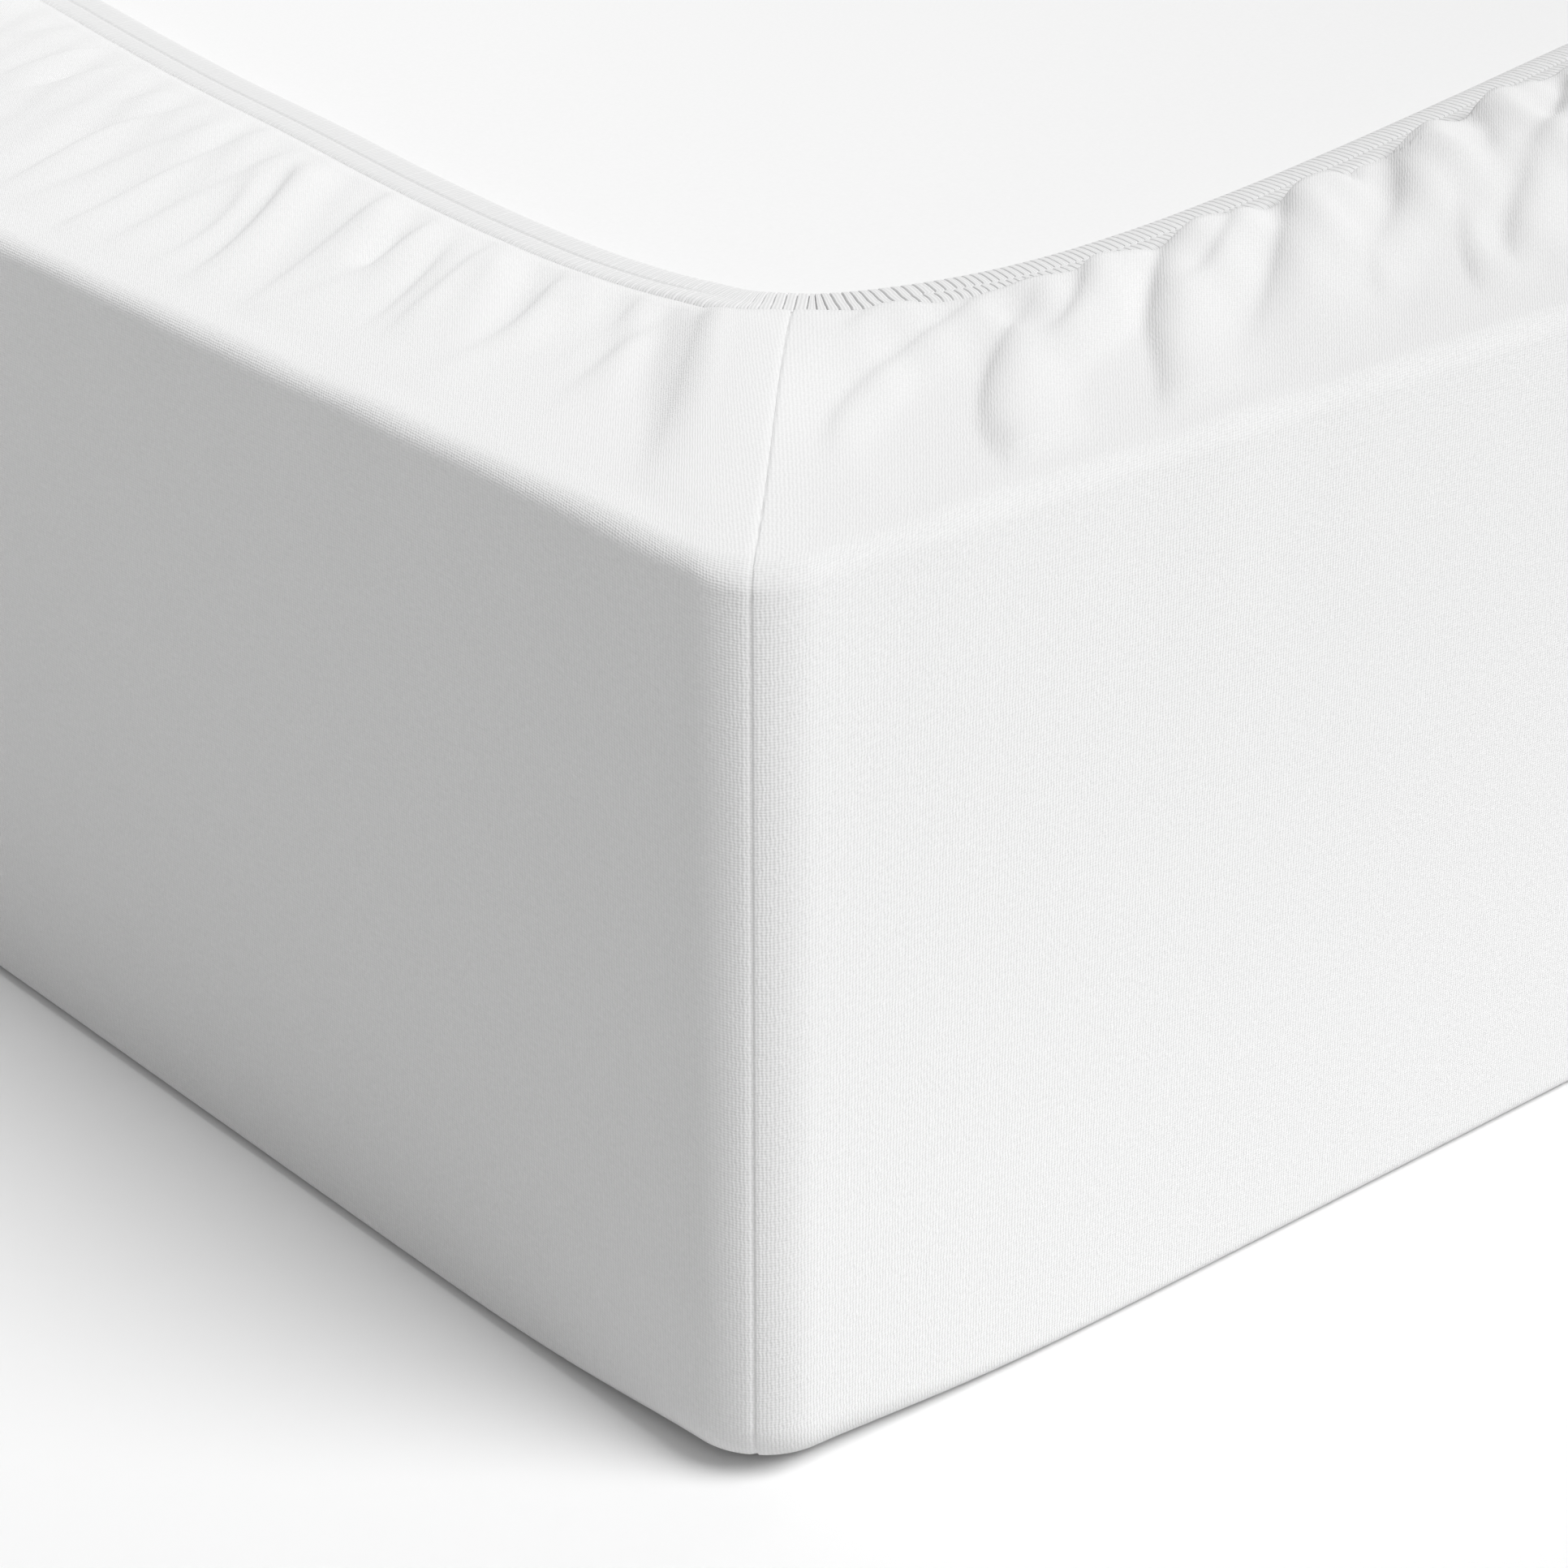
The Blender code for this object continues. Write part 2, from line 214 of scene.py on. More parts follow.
def place(lines, along, inward, height):
    """World points of places measured from each line's own corner."""
    long, short = long_and_short(lines["is_long"], along, inward)
    corner_x, corner_y = lines["corner"].T
    x, y = corner_x * (HALF_LONG - long), corner_y * (HALF_SHORT - short)
    return np.stack([x, y, height + 0 * x], axis=-1)


lines = thread_lines()
print(len(lines["way"]), "thread lines,", int(lines["fine"].sum()), "of them close together, round",
      round(lines["all_round"], 3), "m")

# %% [markdown]
# ## Creases
#
# Gathered cloth makes soft puffs with creases between them. Every crease of the front corner is listed, in
# millimetres from that corner: its start, middle and end, half its width, the height of its ledge, the depth
# of the valley under it, and over what part of its length it comes and goes. A ledge is what cloth makes
# when it
# is pushed from one side: a short step up and a long way down.

# %% The front corner's creases, long side then short side
FRONT_CREASES = (
    # long0, short0, long1, short1, long2, short2, half, ledge, valley, rise, fall
    (70, 52, 113, 81, 191, 111, 3.0, 2.2, 0.2, 0.35, 0.30),
    (125, 106, 135, 110, 153, 119, 2.4, 1.3, 0.0, 0.35, 0.35),
    (96, 17, 120, 53, 195, 103, 5.9, 5.6, 0.4, 0.10, 0.60),
    (158, 70, 178, 79, 208, 105, 4.1, 3.4, 0.4, 0.45, 0.10),
    (147, 19, 198, 70, 255, 115, 5.5, 5.8, 1.8, 0.25, 0.05),
    (212, 71, 239, 85, 277, 112, 3.6, 2.6, 0.2, 0.35, 0.30),
    (205, 40, 260, 81, 301, 118, 6.8, 6.1, 0.6, 0.40, 0.08),
    (290, 112, 300, 115, 312, 118, 4.0, 0.5, 3.0, 0.30, 0.30),
    (279, 63, 313, 85, 349, 122, 8.9, 7.9, 1.0, 0.45, 0.05),
    (314, 101, 320, 108, 329, 120, 2.5, 1.7, 0.4, 0.40, 0.20),
    (281, 28, 297, 46, 322, 69, 3.6, 2.2, 0.2, 0.25, 0.45),
    (354, 86, 374, 103, 399, 136, 7.2, 5.5, 0.5, 0.40, 0.10),
    (308, 39, 340, 64, 401, 101, 5.5, 4.5, 0.5, 0.20, 0.60),
    (340, 111, 351, 112, 367, 123, 3.2, 1.7, 0.6, 0.40, 0.10),
    (400, 127, 410, 131, 422, 137, 4.0, 1.2, 1.4, 0.30, 0.20),
    (254, 38, 261, 47, 275, 60, 3.4, 1.1, 0.0, 0.40, 0.40),
    (236, 14, 285, 47, 353, 79, 5.1, 0.9, 0.0, 0.40, 0.40),
    (369, 85, 408, 104, 452, 141, 4.2, 2.2, 0.4, 0.40, 0.10),
    (401, 99, 433, 121, 474, 150, 5.1, 2.9, 0.4, 0.40, 0.10),
    (428, 40, 474, 95, 522, 158, 8.0, 5.6, 0.6, 0.40, 0.08),
    (16, 58, 62, 100, 112, 146, 11.0, 5.0, 0.4, 0.60, 0.12),
    (24, 113, 64, 134, 106, 150, 5.1, 2.6, 0.2, 0.30, 0.45),
    (31, 132, 68, 149, 109, 167, 3.6, 1.9, 0.2, 0.35, 0.25),
    (36, 162, 71, 175, 105, 199, 3.1, 1.7, 0.4, 0.35, 0.12),
    (84, 184, 94, 184, 104, 186, 3.0, 0.8, 0.2, 0.30, 0.30),
    (37, 198, 61, 212, 86, 229, 2.5, 1.7, 0.4, 0.30, 0.40),
    (41, 192, 71, 208, 107, 230, 2.5, 1.4, 0.1, 0.20, 0.50),
    (20, 228, 65, 234, 104, 258, 2.7, 1.1, 0.1, 0.35, 0.35),
    (61, 232, 69, 236, 84, 247, 2.7, 1.1, 0.2, 0.35, 0.40),
    (14, 231, 60, 254, 108, 284, 3.1, 1.4, 0.2, 0.30, 0.15),
    (20, 262, 57, 283, 91, 313, 3.1, 2.3, 0.5, 0.40, 0.15),
    (21, 280, 52, 294, 80, 319, 3.1, 1.6, 0.2, 0.35, 0.30),
    (17, 301, 60, 317, 107, 331, 3.6, 1.1, 0.1, 0.35, 0.30),
    (104, 363, 109, 359, 114, 355, 3.5, 0.7, 0.2, 0.30, 0.30),
    (13, 323, 49, 334, 108, 356, 3.0, 1.7, 0.2, 0.30, 0.40),
    (15, 349, 56, 359, 110, 368, 3.4, 0.9, 0.0, 0.35, 0.40),
    (25, 367, 69, 385, 104, 389, 3.0, 1.7, 0.2, 0.30, 0.50),
    (56, 420, 74, 413, 113, 406, 3.8, 0.7, 0.0, 0.30, 0.30),
    (66, 437, 83, 441, 113, 442, 3.4, 1.1, 0.1, 0.30, 0.30),
    (72, 455, 96, 462, 124, 466, 3.4, 1.1, 0.1, 0.30, 0.30),
    (40, 478, 86, 490, 134, 496, 6.0, 1.4, 0.2, 0.30, 0.30),
)
LENGTH_COLUMNS = 9
print(len(FRONT_CREASES), "creases placed by hand")

# %% [markdown]
# The other corners and the middles of the sides are gathered in the same way. A crease stands about every
# nine centimetres, where the solid has its trough, with two small ones before the next. A seeded generator
# draws their sizes, so that no two stretches are alike.

# %% The creases elsewhere
PITCH = 0.092
FIRST_FOLD = 0.062
SOLID_REACH = (0.430, 0.470)
FOLD_DEPTH = (0.0065, 0.0038)
# A seed, and what a step along X and along Y adds to it from corner to corner
PLACE_SEED = (11, 1, 2)
MAIN_SEED = (11, 3, 5)
SMALL_SEED = (41, 7, 13)
# Ranges that the main creases' sizes are drawn from: a place in pitches, a bow in millimetres, or a share
PLACE_SPREAD = (-0.12, 0.12)
START_SPREAD = (0.8, 1.6)
DEPTH_SPREAD = (0.7, 1.1)
MAIN_BOW = (-3, 7)
LEDGE_SHARE = (0.5, 1.2)
MAIN_START = 0.022
MAIN_HALF = 0.0105
MAIN_VALLEY = 0.5
MAIN_RISE_FALL = (0.45, 0.08)
# The same for the small ones, which lie at these shares of the way to the next main one
SMALL_BETWEEN = (0.36, 0.68)
BETWEEN_SPREAD = (-0.09, 0.09)
SMALL_SHARE = (0.30, 0.75)
SMALL_START = (0.15, 0.45)
SMALL_END = (0.75, 1.04)
SMALL_BOW = (-4, 6)
SMALL_HALF = (0.0040, 0.0070)
SMALL_VALLEY = 0.25
SMALL_RISE_FALL = (0.4, 0.3)


def corner_rng(seed, corner):
    """A generator of a corner's own."""
    return np.random.default_rng(seed[0] + seed[1] * corner[0] + seed[2] * corner[1])


def main_places(corner):
    """Where the solid's troughs start along a corner's long side, and along its short side."""
    rng = corner_rng(PLACE_SEED, corner)
    places = []
    for half, reach in zip(HALVES, SOLID_REACH):
        first = reach + PITCH / 2 if corner == FRONT else FIRST_FOLD
        even = np.linspace(first, half - PITCH / 2, round((half - first) / PITCH))
        places.append(even + rng.uniform(*PLACE_SPREAD, len(even)) * PITCH)
    return places


def crease_rows(along, start, end, is_long, bow, half, ledge, valley, rise, fall):
    """Rows like FRONT_CREASES', in metres, of creases on their own thread lines, bowed to the corner."""
    columns = []
    for share, shift in ((0.0, 0.0), (0.5, bow), (1.0, 0.0)):
        inward = start + (end - start) * share
        columns += long_and_short(is_long, along + inward * lean(along, is_long) - shift, inward)
    return np.stack(np.broadcast_arrays(*columns, half, ledge, valley, rise, fall), axis=1)


def plain_creases(corner):
    """The solid's troughs of one corner, and the small creases between them."""
    rng, small_rng = corner_rng(MAIN_SEED, corner), corner_rng(SMALL_SEED, corner)
    rows = []
    for is_long, side_end, most, along in zip((True, False), HALVES, FOLD_DEPTH, main_places(corner)):
        count = len(along)
        start = MAIN_START * rng.uniform(*START_SPREAD, count)
        depth = most * rng.uniform(*DEPTH_SPREAD, count)
        rows.append(crease_rows(
            along, start, depth_to_hem(along, 0.0, is_long), is_long,
            small_rng.uniform(*MAIN_BOW, count) * MM, MAIN_HALF,
            depth * small_rng.uniform(*LEDGE_SHARE, count), MAIN_VALLEY * depth, *MAIN_RISE_FALL,
        ))
        gaps = np.diff(along, append=along[-1] + PITCH)
        for share in SMALL_BETWEEN:
            beside = along + gaps * (share + small_rng.uniform(*BETWEEN_SPREAD, len(along)))
            beside = beside[beside < side_end]
            count = len(beside)
            reach = depth_to_hem(beside, 0.0, is_long)
            small = most * small_rng.uniform(*SMALL_SHARE, count)
            start, end = (reach * small_rng.uniform(*spread, count) for spread in (SMALL_START, SMALL_END))
            bow = small_rng.uniform(*SMALL_BOW, count) * MM
            half = small_rng.uniform(*SMALL_HALF, count)
            rows.append(crease_rows(
                beside, start, end, is_long, bow, half, small, SMALL_VALLEY * small, *SMALL_RISE_FALL,
            ))
    return np.concatenate(rows)


def all_creases(corner):
    """Every crease of one corner, in metres."""
    if corner != FRONT:
        return plain_creases(corner)
    front = np.array(FRONT_CREASES)
    front[:, :LENGTH_COLUMNS] *= MM
    return np.concatenate([front, plain_creases(corner)])


print({corner: len(all_creases(corner)) for corner in CORNERS}, "creases a corner")

# %% [markdown]
# ## How high the tucked cloth stands
#
# The tucked border stands on a low crown that rises from the taut edge, and every crease adds to it. The
# distance to a crease's curve gives the shape across it, and the place along it how strong it is. Just
# before the elastic the cloth drops, steeply where a puff stands against it.

# %% Height of the tucked border
# The crown's height at the corner and on the sides, and where along a side and how far in it rises
PUFF_CORNER = 0.0022
PUFF_SIDES = (0.0085, 0.0030)
PUFF_START = 0.030
PUFF_FULL = 0.130
CROWN_START = (0.032, 0.014)
CROWN_FULL = (0.098, 0.095)
EDGE_TAUT = 0.014
TAUT_RUN = 0.0075
# How far before the hem the cloth starts to sink, what share of its height is left there, and over what
# distance it drops at last, to how high. SOFT_FLOOR rounds the places where a valley meets the mattress
HEM_EASED = (0.020, 0.022)
HEM_SHARE = (0.90, 0.40)
HEM_DROP = 0.0040
HEM_RAISED = 0.0010
SOFT_FLOOR = 0.0008
# Faint folds along the thread lines: how high each wave stands, their lengths and phases, how much they turn
# on a long side, and for what share of PUFF_START the cloth beside the seam stays free of them
SOFT_WAVE = 0.00040
SOFT_LENGTHS = (0.0213, 0.0347, 0.0561)
SOFT_PHASES = (0.4, 2.1, 4.4)
SOFT_TURN = 3
SOFT_FREE = 0.4
CREASE_STEPS = 25
# How far a ledge's flank runs out to its left and to its right, in half widths, by side, and its full height
FLANKS = ((0.38, 0.70), (0.90, 0.42))
LEDGE_SCALE = (1.68, 1.95)
LEDGE_REACH = 6.5
RUN_OUT = 0.22


def crease(long, short, row):
    """Height that one crease adds at flat arrays of places. Its path is the parabola through its three
    points. With c the distance to its right in half widths, the valley is -exp(-c^2), and the ledge has the
    slope exp(-|c| / flank), with a flank of its own on either side. S curves fade the ledge out at
    LEDGE_REACH, and bring both in and out along the path, RUN_OUT of its length beyond its ends."""
    ends, (half, ledge, valley, rise, fall) = row[:6].reshape(3, 2), row[6:]
    s = np.linspace(-RUN_OUT, 1 + RUN_OUT, CREASE_STEPS)
    path = np.stack([(1 - s) * (1 - 2 * s), 4 * s * (1 - s), s * (2 * s - 1)], axis=1) @ ends
    margin = LEDGE_REACH * half
    low, high = path.min(axis=0) - margin, path.max(axis=0) + margin
    near = (long > low[0]) & (long < high[0]) & (short > low[1]) & (short < high[1])
    step = np.gradient(path, axis=0)
    run = np.linalg.norm(step, axis=1)
    away = np.stack([long[near], short[near]], axis=1)[:, None] - path
    nearest = np.argmin((away**2).sum(axis=2), axis=1)
    away = away[np.arange(len(away)), nearest]
    ahead = step[nearest] / run[nearest, None]
    along = (away * ahead).sum(axis=1)
    c = (ahead[:, 1] * away[:, 0] - ahead[:, 0] * away[:, 1]) / half
    s_here = s[0] + (s[1] - s[0]) * (nearest + along / run[nearest])
    comes, goes = (s_here + RUN_OUT) / (rise + RUN_OUT), (1 + RUN_OUT - s_here) / (fall + RUN_OUT)
    is_long = ends[1, 0] > ends[1, 1]
    left, right = np.where(is_long, *FLANKS)
    flank = np.where(c < 0, left, right)
    rolled = np.sign(c) * flank * (1 - np.exp(-np.abs(c) / flank)) + (left - right) / 2
    full = np.where(is_long, *LEDGE_SCALE) * ledge / (left + right)
    steps_up = full * rolled * smooth(1 - np.abs(c) / LEDGE_REACH)
    height = np.zeros_like(long)
    height[near] = (steps_up - valley * np.exp(-(c**2))) * smooth(comes) * smooth(goes)
    return height


def between(pair, side):
    """The short side's value at side 0, the long side's at side 1, and the values between them."""
    long, short = pair
    return short + (long - short) * side


def tuck_height(long, short, corner):
    """How high the border stands over the top plane, at flat arrays of places measured from a corner."""
    is_long = long >= short
    along, inward = np.maximum(long, short), np.minimum(long, short)
    before_hem = hem_at(along, is_long) - inward
    start = along - inward * lean(along - inward, is_long)
    # Whatever differs between the two sides passes from one to the other across the seam
    side = smooth((long - short) / (2 * PUFF_START) + 0.5)
    crown = PUFF_CORNER + (between(PUFF_SIDES, side) - PUFF_CORNER) * smooth(start, PUFF_START, PUFF_FULL)
    risen = smooth(inward, between(CROWN_START, side), between(CROWN_FULL, side))
    height = crown * risen
    away_from_seam = smooth(start / PUFF_START - SOFT_FREE)
    for length, phase in zip(SOFT_LENGTHS, SOFT_PHASES):
        wave = 1 + np.sin(2 * math.pi * start / length + phase + SOFT_TURN * inward / length * is_long)
        height = height + SOFT_WAVE * wave * risen * away_from_seam
    for row in all_creases(corner):
        height = height + crease(long, short, row)
    height = (height + np.sqrt(height**2 + SOFT_FLOOR**2)) / 2
    eased, share = smooth(before_hem / between(HEM_EASED, side)), between(HEM_SHARE, side)
    height = height * (share + (1 - share) * eased) * smooth(before_hem / HEM_DROP)
    return height * smooth((inward - EDGE_TAUT) / TAUT_RUN) + HEM_RAISED * (1 - eased)


some_long, some_short = np.array([0.2, 0.3, 0.08]), np.array([0.08, 0.08, 0.2])
print("heights in mm", (tuck_height(some_long, some_short, FRONT) / MM).round(1))

# %% [markdown]
# ## The sheet's rings
#
# Each ring goes once round the sheet, at one place along every thread line: round the bottom edge, up the
# wall, round the top edge and in to the hem. The last one dives under the elastic, which is sewn on top.

# %% Rings of the sheet
BOTTOM_STEPS = 4
WALL_STEPS = 4
TOP_STEPS = 6
TUCK_STEPS = 28
FIRST_TUCKED = BOTTOM_STEPS + WALL_STEPS + TOP_STEPS + 1
TUCK_GROWTH = 1.35
# The last rings: (in from the hem, height over the top plane)
HEM_DIVE = ((0.0012, 0.00080), (0.0019, -0.0011))
SEAM_DRIFT = 0.0032
DRIFT_REACH = 0.035
DIAGONAL = math.sqrt(0.5)


def quarter(steps):
    """Pairs (1 - sin, 1 - cos) of the angle, in even steps through a quarter turn."""
    turned = np.radians(np.linspace(0, 90, steps + 1))
    return [(1 - math.sin(angle), 1 - math.cos(angle)) for angle in turned]


def running_sum(steps):
    """0, and then the sum of the steps so far."""
    return np.concatenate([np.zeros_like(steps[:1]), np.cumsum(steps, axis=0)])


def ring_places(lines):
    """In from the wall, and height, of every ring on every line, as two arrays of rings by lines."""
    along, pull = foot(lines["way"])
    near_corner = np.exp(-((along / CORNER_REACH) ** 2))
    bottom = BOTTOM_ROLL + (BOTTOM_ROLL_AT_CORNER - BOTTOM_ROLL) * near_corner
    depth = depth_to_hem(along, pull, lines["is_long"])
    rings = [(bottom * far, bottom * near) for far, near in quarter(BOTTOM_STEPS)]
    for share in np.arange(1, WALL_STEPS) / WALL_STEPS:
        rings.append((0, bottom + (TOP - TOP_ROLL - bottom) * share))
    rings += [(TOP_ROLL * near, TOP - TOP_ROLL * far) for far, near in quarter(TOP_STEPS)]
    for share in np.arange(1, TUCK_STEPS + 1) / TUCK_STEPS:
        rings.append((TOP_ROLL + (depth - TOP_ROLL) * (1 - (1 - share) ** TUCK_GROWTH), TOP))
    rings += [(depth + further, TOP + higher) for further, higher in HEM_DIVE]
    inward, height = ([np.broadcast_to(ring[part], depth.shape) for ring in rings] for part in (0, 1))
    return np.array(inward), np.array(height)


def sheet_grid(lines):
    """World points of all rings, and each point's way up its thread line, as arrays of rings by lines."""
    along, pull = foot(lines["way"])
    slant = lean(along, lines["is_long"])
    inward, height = ring_places(lines)
    reached, inside = along + inward * slant, pull + inward
    tucked = slice(FIRST_TUCKED, FIRST_TUCKED + TUCK_STEPS)
    for corner in CORNERS:
        here = (lines["corner"] == corner).all(axis=1)
        long, short = (part[tucked, here] for part in long_and_short(lines["is_long"], reached, inside))
        height[tucked, here] += tuck_height(long.ravel(), short.ravel(), corner).reshape(long.shape)
    points = place(lines, reached, inside, height)
    # The front seam was sewn a little off the diagonal
    beside_seam = np.exp(-((lines["way"] / DRIFT_REACH) ** 2)) * (lines["corner"] == FRONT).all(axis=1)
    drift = SEAM_DRIFT * smooth(inward / HEM_LONG[0][1]) * beside_seam
    points[..., :2] += drift[..., None] * (-DIAGONAL, DIAGONAL)
    steps = np.hypot(np.diff(inward, axis=0) * np.hypot(1, slant), np.diff(height, axis=0))
    return points, running_sum(steps)


points, up_the_line = sheet_grid(lines)
print("sheet grid", points.shape, "highest point", round(float(points[..., 2].max()), 4), "m")

# %% [markdown]
# ## Seams and unevenness
#
# Each corner is closed by a seam, a narrow groove where both edges of the cloth turn in. It is steep on the
# long side and gentle on the short one, where the seam allowance lies. The walls are not perfectly flat
# either. Both are moves along the surface's own normal.

# %% Seam groove and the walls' unevenness
SEAM_DEPTH = 0.00042
SEAM_WIDTHS = (0.00034, 0.00110)
SEAM_END_RINGS = 4
WAVE_SEED = 23
# Waves of the top edge and of the walls: how many go round the sheet, and how high they stand
EDGE_WAVES = (47, 71, 97, 139)
EDGE_WAVE_HEIGHT = 0.00030
EDGE_WAVE_REACH = 0.018
WALL_WAVES = (9, 15, 23)
WALL_WAVE_HEIGHT = 0.0005


def grid_normals(grid):
    """Unit normals of a grid of rings by lines that is closed along its rings."""
    up = np.gradient(grid, axis=0)
    ahead = np.roll(grid, -1, axis=1) - np.roll(grid, 1, axis=1)
    normals = np.cross(ahead, up)
    return normals / np.linalg.norm(normals, axis=2, keepdims=True)


def waves(ways, cycles, all_round, rng):
    """A sum of sines that closes on itself round the sheet, each with its own phase."""
    total = np.zeros_like(ways)
    for cycle in cycles:
        total += np.sin(2 * math.pi * (cycle * ways / all_round + rng.uniform()))
    return total / math.sqrt(len(cycles))


def seam_and_waves(lines, grid):
    """How far each point moves out along its normal."""
    rng = np.random.default_rng(WAVE_SEED)
    way, height = lines["way"], grid[..., 2]
    groove = -SEAM_DEPTH * np.exp(-((way / np.where(lines["is_long"], *SEAM_WIDTHS)) ** 2))
    to_hem = np.arange(len(grid))[::-1, None]
    near_edge = np.exp(-(((height - TOP + TOP_ROLL) / EDGE_WAVE_REACH) ** 2))
    edge = EDGE_WAVE_HEIGHT * waves(lines["round"], EDGE_WAVES, lines["all_round"], rng) * near_edge
    middle = np.sin(math.pi * np.clip(height / TOP, 0, 1))
    wall = WALL_WAVE_HEIGHT * waves(lines["round"], WALL_WAVES, lines["all_round"], rng) * middle
    uneven = edge + wall * smooth(way / PUFF_FULL)
    uneven[FIRST_TUCKED:] = 0
    return groove * smooth((to_hem - len(HEM_DIVE)) / SEAM_END_RINGS) + uneven


points = points + grid_normals(points) * seam_and_waves(lines, points)[..., None]
points[..., 2] = np.maximum(points[..., 2], 0)
print("seam groove", SEAM_DEPTH / MM, "mm deep")

# %% [markdown]
# ## Faces of the sheet
#
# Where the thread lines are close together, every ring is used, and elsewhere every second one. Where the
# two meet, a face with five corners takes in the ring that the plain side leaves out. The bottom is a fan to
# the middle of the floor panel. The UV map holds real metres: round the sheet, and up the line.

# %% Faces, UV map and object of the sheet
# Corners of a face as (rings up, lines on): a fine and a plain quad, and the two faces that join them
FINE_QUAD = ((0, 0), (0, 1), (1, 1), (1, 0))
PLAIN_QUAD = ((0, 0), (0, 1), (2, 1), (2, 0))
PLAIN_ON_RIGHT = ((0, 0), (0, 1), (2, 1), (2, 0), (1, 0))
PLAIN_ON_LEFT = ((0, 0), (0, 1), (1, 1), (2, 1), (2, 0))
# How far the wales lean on the tuck, beside the seam and from KNIT_TURNED_BY along the side on
KNIT_NEAR = (0.90, 1.17)
KNIT_FAR = (1.20, 1.55)
KNIT_TURNED_BY = 0.35


def new_mesh(name, points, groups, uvs=None):
    """An object from points (n, 3), groups of faces with a row of point numbers each, and a UV for each
    corner of a face."""
    used, numbers = np.unique(np.concatenate([group.ravel() for group in groups]), return_inverse=True)
    sizes = np.concatenate([np.full(len(group), group.shape[1]) for group in groups])
    mesh = bpy.data.meshes.new(name)
    mesh.from_pydata(points[used], [], np.split(numbers, np.cumsum(sizes)[:-1]))
    if uvs is not None:
        layer = mesh.uv_layers.new(name="cloth")
        layer.data.foreach_set("uv", np.asarray(uvs, np.float32).ravel())
    mesh.validate()
    mesh.shade_smooth()
    obj = bpy.data.objects.new(name, mesh)
    bpy.context.scene.collection.objects.link(obj)
    return obj


def faces_of(shape, low, left):
    """Faces of one shape at every low ring and left line, as (ring, line) pairs."""
    first = np.stack(np.meshgrid(low, left, indexing="ij"), axis=-1)
    return first.reshape(-1, 1, 2) + np.array(shape)


def quads_of(numbers):
    """Quads between each row of point numbers and the next, where every row is a closed ring."""
    ahead = np.roll(numbers, -1, axis=1)
    return np.stack([numbers[:-1], ahead[:-1], ahead[1:], numbers[1:]], axis=-1).reshape(-1, 4)


def fan(ring, middle):
    """Triangles from every two neighbours in a closed ring of point numbers to its middle."""
    return np.stack([ring, np.roll(ring, -1), np.full(len(ring), middle)], axis=1)


def knit_shift(lines):
    """How far the wales run from the thread lines on the tuck. Their slant falls towards the side's middle
    with the fourth power of the way there."""
    is_long = lines["is_long"]
    along, _ = foot(lines["way"])
    inward, _ = ring_places(lines)
    near, far = np.where(is_long, *KNIT_NEAR), np.where(is_long, *KNIT_FAR)
    share = along / np.where(is_long, *HALVES)
    slant = (near + (far - near) * smooth(along / KNIT_TURNED_BY)) * (1 - share**4)
    return lines["outwards"] * (lean(along, is_long) - slant) * np.clip(inward - TOP_ROLL, 0, None)


def sheet_object(lines, points, up_the_line):
    """The sheet's outer face as one object. Line number line_count is the first again, a full round on."""
    ring_count, line_count = points.shape[:2]
    left, fine = np.arange(line_count), lines["fine"]
    fine_next = np.roll(fine, -1)
    every, second = np.arange(ring_count - 1), np.arange(0, ring_count - 2, 2)
    groups = [
        faces_of(FINE_QUAD, every, left[fine & fine_next]),
        faces_of(PLAIN_QUAD, second, left[~fine & ~fine_next]),
        faces_of(PLAIN_ON_RIGHT, second, left[fine & ~fine_next]),
        faces_of(PLAIN_ON_LEFT, second, left[~fine & fine_next]),
    ]
    across = lines["round"] + knit_shift(lines)
    across = np.append(across, across[:, :1] + lines["all_round"], axis=1)
    uv = np.stack([across, np.append(up_the_line, up_the_line[:, :1], axis=1)], axis=-1)
    faces, uvs = [], []
    for group in groups:
        ring, line = group[..., 0], group[..., 1]
        faces.append(ring * line_count + line % line_count)
        uvs.append(uv[ring, line].reshape(-1, 2))
    flat = np.concatenate([points.reshape(-1, 3), [[0, 0, 0]]])
    faces.append(fan(left[::-1], len(flat) - 1))
    uvs.append(flat[faces[-1].ravel(), :2])
    return new_mesh("fitted_sheet", flat, faces, np.concatenate(uvs))


fitted_sheet = sheet_object(lines, points, up_the_line)
sheet_area = sum(face.area for face in fitted_sheet.data.polygons)
solidify = fitted_sheet.modifiers.new("cloth thickness", "SOLIDIFY")
solidify.thickness = CLOTH
solidify.offset = -1
print(len(fitted_sheet.data.polygons), "faces of cloth,", round(sheet_area, 3), "square metres")

# %% [markdown]
# ## The elastic band
#
# The elastic is a flat strip two rows wide, sewn on while it is stretched. When it springs back it takes up
# small pleats. At the corners, where it was stretched most, they lie like roof tiles right across it. Away
# from them they are finer, and the stitch line parts them into two slanted sets. The strip is a section
# carried along the hem, with columns of points at the same places of every pleat.

# %% The hem as a closed curve, with the pleats counted along it
HEM_STEP = 0.00025
# A pleat's pitch, and between which distances from the seam it passes from the first to the second
PLEAT_AT_SEAM = 0.0033
PLEAT_ON_SIDE = 0.00285
PLEATS_FINER = (0.025, 0.060)
PLEAT_JITTER = 0.08
PLEAT_SEED = 31
PLEAT_WAVES = (611, 1013, 1427)
# How far from its seam the band is pleated: at the front corner and at the others
FRONT_REACH = 0.60
OTHER_REACH = 0.12
PLEAT_POINTS = (0.0, 0.06, 0.11, 0.20, 0.80, 0.89, 0.94)
PLAIN_PLEATS = 2


